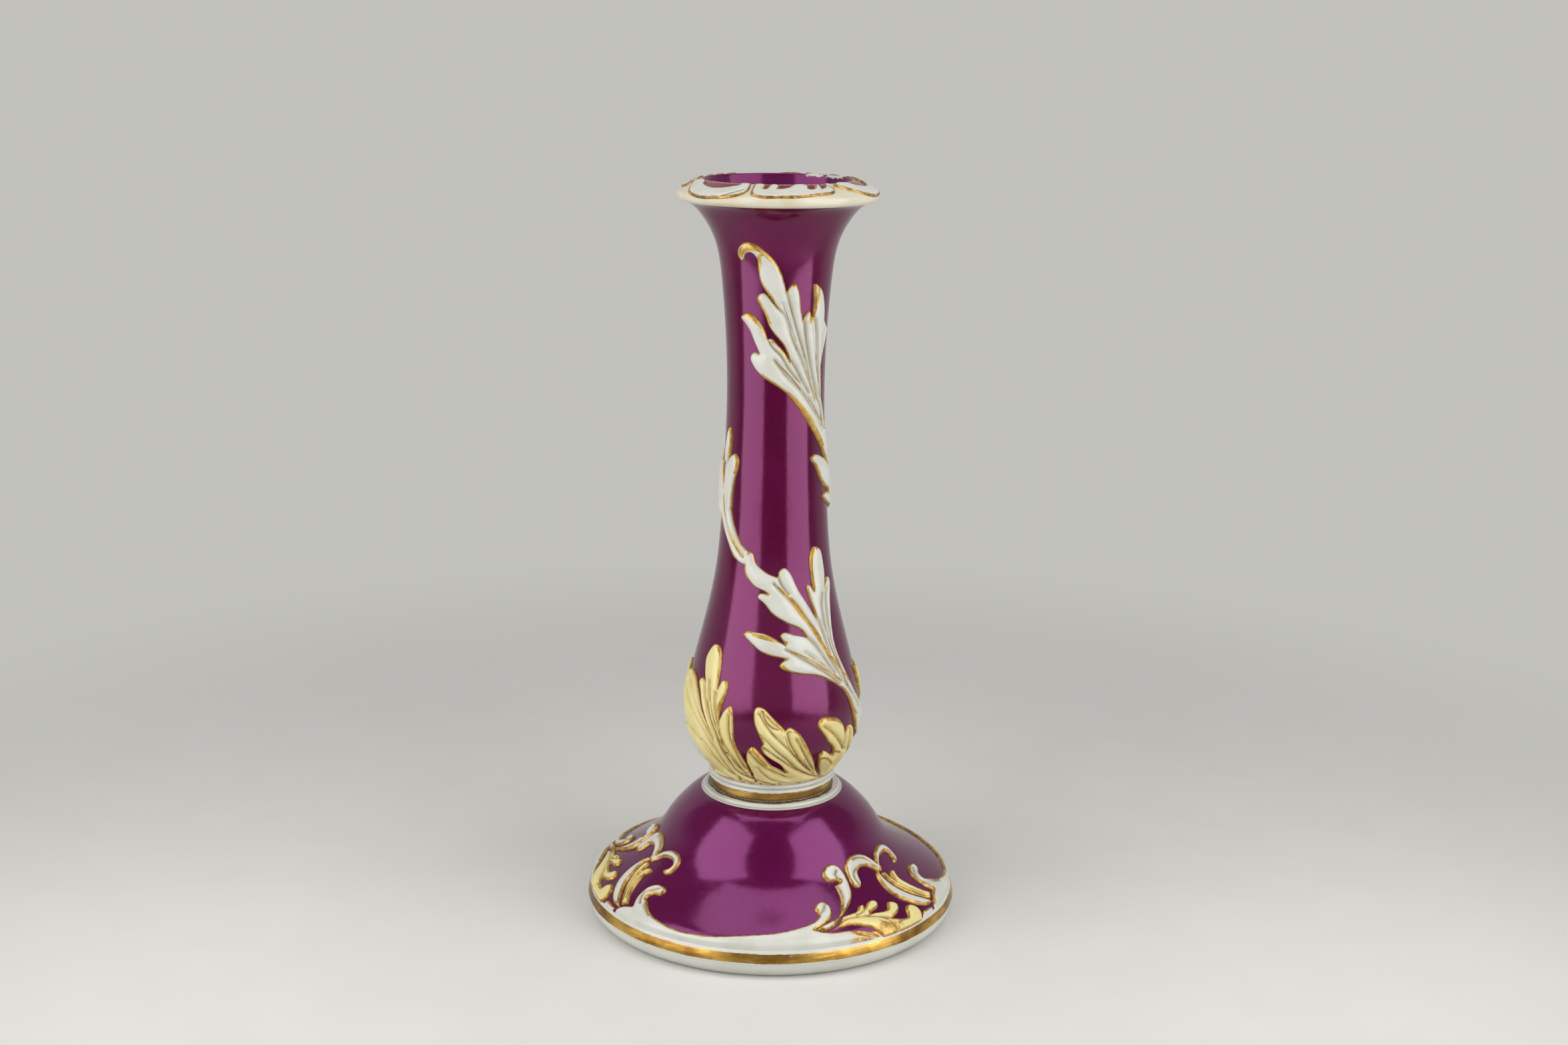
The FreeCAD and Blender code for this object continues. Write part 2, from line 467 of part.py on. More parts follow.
def relief(names, pitch, poles, low, high, outline, thickness):
    # Ornament laid on a body: the outline is drawn on the body's surface, raised by the thickness
    # and closed with side walls. The copies stand a pitch apart round the axis.
    guide = meridian(poles)
    start = min(angle for stroke in outline for angle, share in stroke) - 5
    rise = high - low
    wires = []
    faces = []
    for distance in (size("relief_gap"), size("relief_gap") + thickness):
        curve = matched(poles, guide, distance)
        surface = Part.SurfaceOfRevolution(curve, FreeCAD.Vector(), FreeCAD.Vector(0, 0, 1))
        edges = []
        for stroke in outline:
            places = stroke
            if len(stroke) == 2:
                middle = [(stroke[0][axis] + stroke[1][axis]) / 2 for axis in (0, 1)]
                places = [stroke[0], middle, stroke[1]]
            points = []
            for angle, share in places:
                along = parameter_at(guide, (low + rise * share).value)
                points.append(FreeCAD.Base.Vector2d(math.radians(angle - start), along))
            line = Part.Geom2d.BSplineCurve2d()
            line.interpolate(points)
            edges.append(line.toShape(surface))
        wires.append(Part.Wire(edges))
        faces.append(Part.Face(surface, wires[-1]))
    for lower, upper in zip(wires[0].OrderedEdges, wires[1].OrderedEdges):
        faces.append(Part.makeRuledSurface(lower, upper))
    shell = Part.makeShell(faces)
    shell.sewShape()
    solid = Part.makeSolid(shell)
    for index, name in enumerate(names):
        feature(name, solid, start - 90 + pitch * index)


# Foot casting: the dome outside, the foot ring, and a hollow one wall inside the dome.
foot_inside = [(foot_ring_radius - size("foot_ring_width"), nothing)]
foot_inside += grown(foot_poles[3:11], size("foot_wall") * inwards)
foot_inside += [(bore_radius, collar_seat - size("foot_wall"))]
turned("foot_casting", [
    foot_poles,
    [foot_poles[-1], (bore_radius, collar_seat)],
    [(bore_radius, collar_seat), foot_inside[-1]],
    foot_inside[::-1],
    [foot_inside[0], foot_poles[0]],
])

# Collar: a flat ring with a rounded edge on top of the dome.
collar_edge = size("collar_radius") - size("collar_bulge_width")
turned("foot_collar", [
    [(bore_radius, collar_seat), (collar_edge, collar_seat)],
    [(collar_edge, collar_seat), (size("collar_radius"), collar_seat), (size("collar_radius"), bed_seat),
     (collar_edge, bed_seat)],
    [(collar_edge, bed_seat), (bore_radius, bed_seat)],
    [(bore_radius, bed_seat), (bore_radius, collar_seat)],
])

# Cement: a sleeve round the spigot and a bed under the stem, which shows as a dark seam.
cement_inside = size("spigot_radius") + size("cement_gap")
cement_outside = bore_radius - size("cement_gap")
cement_edge = size("stem_base_radius") + size("cement_spread_width")
turned("cement_joint", [
    [(cement_inside, spigot_end), (cement_outside, spigot_end)],
    [(cement_outside, spigot_end), (cement_outside, bed_seat)],
    [(cement_outside, bed_seat), (cement_edge, bed_seat)],
    [(cement_edge, bed_seat), (cement_edge, stem_seat)],
    [(cement_edge, stem_seat), (cement_inside, stem_seat)],
    [(cement_inside, stem_seat), (cement_inside, spigot_end)],
])

# Stem casting: spigot, bulb, waist and lip, hollow inside, with a ledge and a funnel for the nozzle.
spigot_bore = size("spigot_radius") - size("spigot_wall")
pocket_radius = nozzle_radius + size("nozzle_gap")
ledge_radius = size("waist_radius") - size("stem_wall")
pocket_poles = grown(funnel_poles, size("nozzle_gap"))
pocket_poles[0] = (pocket_radius, funnel_start[1])
pocket_poles[-1] = (funnel_radius + size("nozzle_gap"), lip_seat)
stem_inside = [(spigot_bore, stem_seat + size("stem_wall"))]
stem_inside += grown(stem_poles[3:10], size("stem_wall") * inwards)
stem_inside += [(ledge_radius, nozzle_seat)]
turned("stem_casting", [
    [(size("spigot_radius"), stem_seat), stem_poles[0]],
    stem_poles,
    [stem_poles[-1], pocket_poles[-1]],
    pocket_poles[::-1],
    [pocket_poles[0], (pocket_radius, nozzle_seat)],
    [(pocket_radius, nozzle_seat), stem_inside[-1]],
    stem_inside[::-1],
    [stem_inside[0], (spigot_bore, spigot_end)],
    [(spigot_bore, spigot_end), (size("spigot_radius"), spigot_end)],
    [(size("spigot_radius"), spigot_end), (size("spigot_radius"), stem_seat)],
])

# Candle nozzle: a cup for the candle that opens into a funnel up to the mouth.
socket_seat = nozzle_seat + size("socket_floor")
turned("candle_nozzle", [
    [(nothing, nozzle_seat), (nozzle_radius, nozzle_seat)],
    [(nozzle_radius, nozzle_seat), funnel_poles[0]],
    funnel_poles,
    [funnel_poles[-1], throat_poles[-1]],
    throat_poles[::-1],
    [throat_poles[0], (size("socket_radius"), socket_seat)],
    [(size("socket_radius"), socket_seat), (nothing, socket_seat)],
    [(nothing, socket_seat), (nothing, nozzle_seat)],
])

# Rim: a moulded ring that covers the lip and the end of the nozzle.
turned("rim_moulding", [
    [throat_end, rim_poles[0]],
    rim_poles,
    rim_edge_poles,
])

# Gilding and the beaded ring.
band("foot_gilt_band", foot_poles, size("foot_gilt_low"), size("foot_gilt_high"), size("gilt_thickness"))
gilt_low = stem_seat + size("band_gap")
gilt_high = gilt_low + size("stem_gilt_width")
ring_low = gilt_high + size("band_gap")
ring_high = ring_low + size("ring_width")
band("stem_gilt_band", stem_poles, gilt_low, gilt_high, size("gilt_thickness"))
band("stem_ring_moulding", stem_poles, ring_low, ring_high, size("ring_thickness"), 2)

# Ornament of the stem: each leaf of the front stands again at the back.
half_turn = 180
for name, outline in (("upper_leaf", upper_leaf_shares), ("lower_leaf", lower_leaf_shares)):
    names = [name + "_front", name + "_back"]
    relief(names, half_turn, stem_poles, stem_seat, lip_seat, outline, size("stem_relief_thickness"))
calyx_shares = [calyx_a_shares, calyx_b_shares, calyx_c_shares, calyx_d_shares]
for index, outline in enumerate(calyx_shares, 1):
    names = ["calyx_leaf_%d" % index, "calyx_leaf_%d" % (index + len(calyx_shares))]
    relief(names, half_turn, stem_poles, stem_seat, lip_seat, outline, size("stem_relief_thickness"))

# Ornament of the foot and the rim: three groups each.
third_turn = 120
ornament_low = size("foot_gilt_high") + size("band_gap")
foot_ornament = (
    ("foot_border_scroll", border_scroll_shares, size("foot_relief_thickness")),
    ("foot_ball_scroll", ball_scroll_shares, size("ball_relief_thickness")),
    ("foot_feather_leaf", feather_leaf_shares, size("foot_relief_thickness")),
    ("foot_border_end", border_end_shares, size("foot_relief_thickness")),
    ("foot_crest_scroll", crest_scroll_shares, size("foot_relief_thickness")),
    ("foot_bud_leaf", bud_leaf_shares, size("foot_relief_thickness")),
)
for name, outline, thickness in foot_ornament:
    names = [name + "_%d" % number for number in (1, 2, 3)]
    relief(names, third_turn, foot_poles, ornament_low, collar_seat, outline, thickness)
for name, outline in (("rim_cartouche", cartouche_shares), ("rim_leaf_scroll", leaf_scroll_shares)):
    names = [name + "_%d" % number for number in (1, 2, 3)]
    relief(names, third_turn, rim_poles, lip_seat, rim_top, outline, size("rim_relief_thickness"))

doc.recompute()
for item in doc.Objects:
    if "Invalid" in item.State or "Error" in item.State:
        raise RuntimeError("not made: " + item.Label)
broken = [piece.Label for piece in parts if piece.Shape.isNull() or not piece.Shape.isValid()]
broken += [piece.Label for piece in parts if piece.Label not in broken and piece.Shape.Volume <= 0]
if broken:
    raise RuntimeError("not valid solids: " + ", ".join(broken))

os.makedirs("parts", exist_ok=True)
for piece in parts:
    piece.Shape.exportStep("parts/" + piece.Label + ".step")
    print(piece.Label, len(piece.Shape.Solids), round(piece.Shape.Volume, 1))
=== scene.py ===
# Antique porcelain candlestick in magenta glaze with gilt leaves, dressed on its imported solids.
# Shapes are drawn in millimetres and degrees round the axis; meshes are in metres.
import math
import bmesh
import bpy
import numpy as np
from mathutils import Matrix, Vector, kdtree


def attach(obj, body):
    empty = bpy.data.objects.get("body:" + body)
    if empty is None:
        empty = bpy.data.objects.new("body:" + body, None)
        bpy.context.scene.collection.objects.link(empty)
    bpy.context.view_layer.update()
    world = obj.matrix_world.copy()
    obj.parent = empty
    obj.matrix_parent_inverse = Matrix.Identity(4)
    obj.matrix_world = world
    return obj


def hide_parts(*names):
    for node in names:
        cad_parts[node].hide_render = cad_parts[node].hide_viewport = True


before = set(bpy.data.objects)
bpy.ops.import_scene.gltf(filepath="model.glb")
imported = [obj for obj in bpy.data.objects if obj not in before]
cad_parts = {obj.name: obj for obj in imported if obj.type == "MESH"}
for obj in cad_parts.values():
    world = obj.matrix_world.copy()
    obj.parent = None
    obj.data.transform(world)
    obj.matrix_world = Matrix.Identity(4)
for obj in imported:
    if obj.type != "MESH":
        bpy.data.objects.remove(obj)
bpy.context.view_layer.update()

mm = 0.001
thirdTurn = 120  # degrees; the ornament of foot and rim comes three times round
halfTurn = 180  # the leaves of the stem come twice
scene = bpy.context.scene
scene.view_settings.view_transform = "Standard"


def paint(red, green, blue):
    # a colour as a painter reads it off, 0 to 255, made linear
    parts = []
    for part in (red, green, blue):
        part = part / 255
        parts.append(part / 12.92 if part <= 0.04045 else ((part + 0.055) / 1.055) ** 2.4)
    return (*parts, 1.0)


def splinePoints(poles, count):
    # clamped cubic spline, the curve that the solids are turned from
    poles = np.array(poles, float)
    spans = len(poles) - 3
    knots = np.concatenate([np.zeros(3), np.linspace(0, 1, spans + 1), np.ones(3)])
    t = np.minimum(np.linspace(0, 1, count), 1 - 1e-9)[:, None]
    basis = ((knots[:-1] <= t) & (t < knots[1:])).astype(float)
    for degree in (1, 2, 3):
        before = knots[degree:-1] - knots[:-degree - 1]
        after = knots[degree + 1:] - knots[1:-degree]
        rising = (t - knots[:-degree - 1]) / np.where(before == 0, 1, before) * basis[:, :-1]
        falling = (knots[degree + 1:] - t) / np.where(after == 0, 1, after) * basis[:, 1:]
        basis = rising + falling
    return basis @ poles


class Wall:
    # an outer profile, walked by its run (arc length) in millimetres
    def __init__(self, poles, count=500):
        self.line = splinePoints(poles, count)
        step = np.hypot(*np.diff(self.line, axis=0).T)
        self.run = np.concatenate([[0], np.cumsum(step)])
        slope = np.gradient(self.line, self.run, axis=0)
        slope /= np.linalg.norm(slope, axis=1)[:, None]
        self.out = np.column_stack([slope[:, 1], -slope[:, 0]])

    def runAt(self, height):
        return np.interp(height, self.line[:, 1], self.run)

    def radiusAt(self, run):
        return np.interp(run, self.run, self.line[:, 0])

    def heightAt(self, run):
        return np.interp(run, self.run, self.line[:, 1])

    def outAt(self, run):
        # the way the wall faces, as (radius, height)
        return np.column_stack([np.interp(run, self.run, self.out[:, axis]) for axis in (0, 1)])

    def covers(self, radius, height):
        # True where a point lies more than a millimetre under the wall's face
        return radius <= np.interp(height, self.line[:, 1], self.line[:, 0]) - 1

    def place(self, angle, run, rise=0.0):
        out = self.outAt(run)
        radius = self.radiusAt(run) + rise * out[:, 0]
        height = self.heightAt(run) + rise * out[:, 1]
        turn = np.radians(angle)
        return np.column_stack([radius * np.sin(turn), -radius * np.cos(turn), height]) * mm


# profiles as the poles of a spline, (radius, height), from the floor upward
footPoles = [(56.6, 0), (58.1, 0.8), (60.2, 3), (59.5, 7), (57.6, 11), (53, 14), (45.9, 18), (37.4, 24),
             (33.8, 31), (28.1, 37), (25, 39.6), (22.9, 40.3)]
stemPoles = [(19.1, 42.1), (19.2, 44.5), (19.2, 49), (24.7, 55), (28.6, 65), (27, 78), (22.4, 95),
             (17.4, 116), (16.3, 142), (14.9, 168), (15.6, 190), (16.9, 206), (18.3, 217), (22.8, 225),
             (26.5, 229), (29.2, 229.5)]
rimPoles = [(29.4, 229.5), (30.65, 229.9), (31, 230.8), (31, 232.2), (29.4, 233.2), (27.1, 234.3),
            (24.8, 235.55), (23.2, 236)]
rimEdgePoles = [(23.2, 236), (22.7, 236), (22.4, 234.7), (22, 229.5)]
throatPoles = [(22, 229.5), (19, 226.5), (13.5, 220.5), (11.2, 217), (11.2, 214)]
footWall = Wall(footPoles)
stemWall = Wall(stemPoles)
rimWall = Wall(rimPoles)
print("profiles ready")


class Wire:
    # an output socket that can be written in sums
    def __init__(self, bench, socket):
        self.bench = bench
        self.socket = socket

    def __add__(self, other):
        return self.bench.maths("ADD", self, other)

    def __radd__(self, other):
        return self.bench.maths("ADD", other, self)

    def __sub__(self, other):
        return self.bench.maths("SUBTRACT", self, other)

    def __rsub__(self, other):
        return self.bench.maths("SUBTRACT", other, self)

    def __mul__(self, other):
        return self.bench.maths("MULTIPLY", self, other)

    def __rmul__(self, other):
        return self.bench.maths("MULTIPLY", other, self)

    def __abs__(self):
        return self.bench.maths("ABSOLUTE", self, 0.0)


class Bench:
    # the node tree of a material or of the sky; spot names the coordinates that its patterns follow
    def __init__(self, owner, spot="Object"):
        self.owner = owner
        owner.use_nodes = True
        self.tree = owner.node_tree
        self.tree.nodes.clear()
        self.spot = self.add("ShaderNodeTexCoord", out=spot)

    def add(self, kind, settings=(), inputs=(), out=0):
        # one node: its settings first, then its sockets; gives the output named by out, if it has any
        node = self.tree.nodes.new(kind)
        for key, value in dict(settings).items():
            setattr(node, key, value)
        for key, value in dict(inputs).items():
            if isinstance(value, Wire):
                self.tree.links.new(value.socket, node.inputs[key])
            else:
                node.inputs[key].default_value = value
        return Wire(self, node.outputs[out]) if len(node.outputs) else None

    def maths(self, operation, first, second):
        return self.add("ShaderNodeMath", {"operation": operation}, {0: first, 1: second})

    def larger(self, first, second):
        return self.maths("MAXIMUM", first, second)

    def step(self, value, low, high):
        # 0 below low, 1 above high, smooth between
        return self.add("ShaderNodeMapRange", {"interpolation_type": "SMOOTHSTEP"},
                        {"Value": value, "From Min": low, "From Max": high})

    def between(self, value, low, high, soft):
        return self.step(value, low - soft, low + soft) * (1 - self.step(value, high - soft, high + soft))

    def blend(self, factor, first, second):
        return self.add("ShaderNodeMix", {"data_type": "RGBA"}, {0: factor, 6: first, 7: second}, out=2)

    def cloud(self, size, detail=3.0, rough=0.5, stretch=None):
        # noise whose blotches are about `size` millimetres wide
        spot = self.spot
        if stretch:
            spot = self.add("ShaderNodeMapping", {}, {"Vector": spot, "Scale": stretch})
        return self.add("ShaderNodeTexNoise", {}, {"Vector": spot, "Scale": 1000 / size, "Detail": detail,
                                                   "Roughness": rough})

    def specks(self, size, reach):
        # round dots, one in each cell of `size` millimetres, most of them small
        dots = self.add("ShaderNodeTexVoronoi", {}, {"Vector": self.spot, "Scale": 1000 / size},
                        out="Distance")
        return 1 - self.step(dots, reach * 0.6, reach)

    def along(self, axis):
        return self.add("ShaderNodeSeparateXYZ", {}, {0: self.spot}, out=axis)

    def angle(self):
        # degrees round the axis, counted from the front towards +X
        return self.maths("ARCTAN2", self.along("X"), self.along("Y") * -1) * (180 / math.pi)

    def height(self):
        # millimetres from the floor
        return self.along("Z") * 1000

    def radius(self):
        # millimetres from the axis
        flat = self.add("ShaderNodeVectorMath", {"operation": "MULTIPLY"},
                        {0: self.spot, 1: (1000, 1000, 0)})
        return self.add("ShaderNodeVectorMath", {"operation": "LENGTH"}, {0: flat}, out="Value")

    def attribute(self, name):
        return self.add("ShaderNodeAttribute", {"attribute_name": name}, out="Fac")

    def bump(self, height, distance, strength):
        # distance in millimetres
        return self.add("ShaderNodeBump", {},
                        {"Height": height, "Distance": distance * mm, "Strength": strength})

    def finish(self, inputs):
        shader = self.add("ShaderNodeBsdfPrincipled", {}, inputs)
        self.add("ShaderNodeOutputMaterial", {}, {"Surface": shader})
        return self.owner


glazeLook = {
    "magenta": paint(68, 0, 36),
    "thinMagenta": paint(82, 1, 46),
    "domeMagenta": paint(72, 0, 46),
    "thinDomeMagenta": paint(84, 1, 58),
    "ironSpeck": paint(44, 2, 26),
    "pocketMagenta": paint(124, 44, 68),
    "deepPocket": paint(110, 30, 62),
    "mouthGlazeAndReflection": paint(88, 14, 66),
    "white": paint(198, 198, 190),
    "shadedWhite": paint(174, 170, 152),
    "dirtSpeck": paint(120, 104, 74),
    "buff": paint(214, 201, 140),
    # a darker buff for random pools, and the painted shade in the valleys of buff ornament
    "deepAndShadedBuff": paint(196, 174, 104),
    "gold": paint(206, 166, 82),
    "oldGold": paint(134, 96, 34),
    "brown": paint(108, 68, 22),
    "cream": paint(204, 197, 176),
    "shadedCream": paint(182, 168, 132),
    "groove": paint(156, 134, 88),
    "amberGroove": paint(146, 100, 24),
    "grit": paint(52, 36, 24),
    "darkCement": paint(58, 48, 38),
    "paleCement": paint(150, 134, 108),
    "cementStain": paint(110, 84, 48),
}


def magentaSockets(bench, colour, violet=0.76):
    # the thick magenta glaze: deep, glassy, with a violet cast in what it mirrors
    fine = bench.cloud(1.6, 3)
    dots = bench.specks(3.4, 0.075)
    swell = bench.cloud(9, 2) + fine * 0.1 - dots * 0.2
    return {
        "Base Color": bench.blend(dots * 0.5, colour, glazeLook["ironSpeck"]),
        "Roughness": 0.14 + bench.step(fine, 0.4, 0.8) * 0.07,
        "IOR": 1.75,
        "Specular Tint": (1.0, 0.31, violet, 1.0),
        "Normal": bench.bump(swell, 0.16, 0.4),
    }


def magentaGlaze(name, buffBelow=0.0):
    # buffBelow: height in mm up to which a streaked buff ground was laid before the leaves
    bench = Bench(bpy.data.materials.new(name))
    pool = bench.step(bench.cloud(14, 4), 0.35, 0.75) * 0.6
    colour = bench.blend(pool, glazeLook["magenta"], glazeLook["thinMagenta"])
    if buffBelow:
        streak = bench.cloud(1.4, 4, 0.6, (1.0, 1.0, 0.35))
        drift = (bench.cloud(3.5, 3) - 0.5) * 2.2
        ground = 1 - bench.step(bench.height() + drift, buffBelow - 0.2, buffBelow + 0.2)
        buff = bench.blend(bench.step(streak, 0.4, 0.62), glazeLook["buff"], glazeLook["amberGroove"])
        colour = bench.blend(ground, colour, buff)
    return bench.finish(magentaSockets(bench, colour))


draggedGilding = {
    # gilding dragged up from the band, on the right of the front: degrees, then heights of its soft edges
    "overDome": (27, 50),
    "overScrolls": (26, 44),
    "bottom": (8.0, 8.4),
    "topOverDome": (11.8, 12.6),
    "topOverScrolls": (11.8, 12.8),
}


def footGlaze(name):
    # magenta on the dome, with the dragged gilding over it
    bench = Bench(bpy.data.materials.new(name))
    pool = bench.step(bench.cloud(14, 4), 0.35, 0.75) * 0.6
    colour = bench.blend(pool, glazeLook["domeMagenta"], glazeLook["thinDomeMagenta"])
    height = bench.height()
    top = bench.step(height + bench.cloud(4, 4) * 4, *draggedGilding["topOverDome"])
    dragged = bench.between(bench.angle(), *draggedGilding["overDome"], 4) * (1 - top)
    dragged = dragged * bench.step(height, *draggedGilding["bottom"])
    gold = bench.step(bench.cloud(1.5, 5, 0.7), 0.35, 0.7)
    gold = bench.blend(gold, glazeLook["gold"], glazeLook["brown"])
    sockets = magentaSockets(bench, bench.blend(dragged, colour, gold), violet=0.86)
    sockets["Metallic"] = dragged * 0.6
    return bench.finish(sockets)


rimPaint = {
    # magenta in the pockets between the scrolls, in degrees of each third of the rim: one pocket lies
    # between two angles, the other runs from `again` through 0 to `until`
    "pocket": (57, 96),
    "until": (33, 35),
    "again": (110, 112),
    "pocketOutside": (28.4, 28.9),  # radii between which it ends
    "pocketBottom": (232, 232.4),  # heights between which it starts
    "mouth": (23.1, 23.35),
    "giltLip": (23.15, 23.75),
    "giltLipBottom": (233, 234),
    # white chips on the edge of the mouth, at the far side
    "chips": ((142, 157), (119, 138)),
    "chipBottom": (235.15, 235.3),
    "chipOutside": (23.5, 23.9),
}


def rimGlaze(name, inMouth=False):
    # white rim, magenta in the pockets between the scrolls and down the mouth, where white chips show
    bench = Bench(bpy.data.materials.new(name))
    angle = bench.angle()
    radius = bench.radius()
    height = bench.height()
    turn = bench.add("ShaderNodeMath", {"operation": "WRAP"}, {0: angle, 1: thirdTurn, 2: 0.0})
    pockets = bench.larger(1 - bench.step(turn, *rimPaint["until"]), bench.step(turn, *rimPaint["again"]))
    pockets = bench.larger(bench.between(turn, *rimPaint["pocket"], 1.2), pockets)
    pockets = pockets * (1 - bench.step(radius, *rimPaint["pocketOutside"]))
    pockets = pockets * bench.step(height, *rimPaint["pocketBottom"])
    mouth = 1 - bench.step(radius, *rimPaint["mouth"])
    ragged = (bench.cloud(1.6, 5, 0.75) - 0.5) * 3.2
    chips = bench.larger(*[bench.between(angle, *span, 2) for span in rimPaint["chips"]])
    chips = chips * bench.step(height + ragged, *rimPaint["chipBottom"])
    chips = chips * (1 - bench.step(radius, *rimPaint["chipOutside"]))
    lip = bench.between(radius, *rimPaint["giltLip"], 0.1) * bench.step(height, *rimPaint["giltLipBottom"])
    lip = lip * (0.45 + bench.step(bench.cloud(2.4, 5, 0.65), 0.42, 0.52) * 0.55)
    wash = bench.step(bench.cloud(3, 4), 0.35, 0.7)
    wash = bench.blend(wash, glazeLook["pocketMagenta"], glazeLook["deepPocket"])
    gold = bench.step(bench.cloud(1.2, 3), 0.4, 0.6)
    gold = bench.blend(gold, glazeLook["oldGold"], glazeLook["gold"])
    pool = bench.step(bench.cloud(11, 4), 0.4, 0.8) * 0.6
    colour = bench.blend(pool, glazeLook["cream"], glazeLook["shadedCream"])
    colour = bench.blend(pockets, colour, wash)
    # in the mouth, the magenta glaze is made lighter and more violet: a painted reflection
    colour = bench.blend(mouth, colour, glazeLook["mouthGlazeAndReflection"] if inMouth else glazeLook["magenta"])
    colour = bench.blend(lip, colour, gold)
    colour = bench.blend(chips, colour, glazeLook["white"])
    fine = bench.cloud(0.9, 4, 0.6)
    return bench.finish({
        "Base Color": colour,
        "Metallic": lip * (1 - chips) * 0.5,
        "Roughness": 0.14 + bench.step(fine, 0.45, 0.8) * 0.1,
        "IOR": 1.6 if inMouth else 1.5,
        "Specular Tint": (1.0, 0.28, 0.75, 1.0) if inMouth else (1.0, 1.0, 1.0, 1.0),
        "Normal": bench.bump(bench.cloud(5, 2) + fine * 0.2 - chips * 0.8, 0.12, 0.35),
    })


def whiteGlaze(name, giltLine=None, smearedInside=0.0):
    # giltLine: height in mm where an old gilt line still shows, and its half width
    # smearedInside: radius in mm up to which gilding and joint grit were smeared over the top face
    bench = Bench(bpy.data.materials.new(name))
    fine = bench.cloud(0.9, 4, 0.6)
    pool = bench.step(bench.cloud(11, 4), 0.4, 0.8) * 0.5
    colour = bench.blend(pool, glazeLook["white"], glazeLook["shadedWhite"])
    colour = bench.blend(bench.specks(2.6, 0.06) * 0.45, colour, glazeLook["dirtSpeck"])
    sockets = {"Roughness": 0.16 + bench.step(fine, 0.45, 0.8) * 0.12, "IOR": 1.52,
               "Normal": bench.bump(bench.cloud(6, 2) + fine * 0.2, 0.12, 0.3)}
    if giltLine:
        level, half = giltLine
        wear = bench.step(bench.cloud(2.4, 5, 0.65), 0.46, 0.56)
        gilt = (1 - bench.step(abs(bench.height() - level), half * 0.7, half)) * wear
        colour = bench.blend(gilt, colour, glazeLook["gold"])
        sockets["Metallic"] = gilt * 0.55
    if smearedInside:
        ragged = bench.radius() + (bench.cloud(3, 5, 0.7) - 0.5) * 1.8 + (bench.cloud(16, 2) - 0.5) * 3.5
        smear = 1 - bench.step(ragged, smearedInside - 0.15, smearedInside)
        grit = bench.step(bench.cloud(0.8, 5, 0.75), 0.38, 0.52)
        dirt = bench.blend(grit, glazeLook["oldGold"], glazeLook["grit"])
        colour = bench.blend(smear * 0.92, colour, dirt)
    sockets["Base Color"] = colour
    return bench.finish(sockets)


def oldGilding(name, low, high, ragged, shine):
    # gold fired on white glaze between two heights, with hand-drawn edges and rubbed places
    bench = Bench(bpy.data.materials.new(name))
    drift = (bench.cloud(9, 3) - 0.5) * (2 * ragged) + (bench.cloud(1.2, 3) - 0.5) * 0.3
    height = bench.height() + drift
    line = bench.step(height, low + 0.1, low + 0.3) * (1 - bench.step(height, high - 0.3, high - 0.1))
    brushed = bench.cloud(1.1, 4, 0.6, (0.12, 0.12, 1.0))
    patch = bench.cloud(13, 4)
    rubbedAndEdgeShade = bench.step(bench.cloud(3, 6, 0.7), 0.62, 0.72) * bench.step(patch, 0.45, 0.62)
    gold = bench.blend(bench.step(patch, 0.36, 0.62), glazeLook["gold"], glazeLook["oldGold"])
    gold = bench.blend(bench.step(brushed, 0.42, 0.68) * 0.55, gold, glazeLook["brown"])
    cover = line * (1 - rubbedAndEdgeShade * 0.8)
    return bench.finish({
        "Base Color": bench.blend(cover, glazeLook["white"], gold),
        "Metallic": cover * shine,
        "Roughness": 0.16 + cover * 0.08 + brushed * 0.1,
        "Normal": bench.bump(brushed + bench.cloud(7, 2) * 0.8, 0.1, 0.3),
    })


def cementLook(name):
    # gritty lime cement with brown stains
    bench = Bench(bpy.data.materials.new(name))
    grit = bench.cloud(0.5, 5, 0.7)
    stain = bench.step(bench.cloud(5, 4), 0.5, 0.7) * 0.6
    colour = bench.blend(bench.step(grit, 0.35, 0.65), glazeLook["darkCement"], glazeLook["paleCement"])
    return bench.finish({
        "Base Color": bench.blend(stain, colour, glazeLook["cementStain"]),
        "Roughness": 0.75 + grit * 0.2,
        "Normal": bench.bump(grit, 0.25, 0.8),
    })


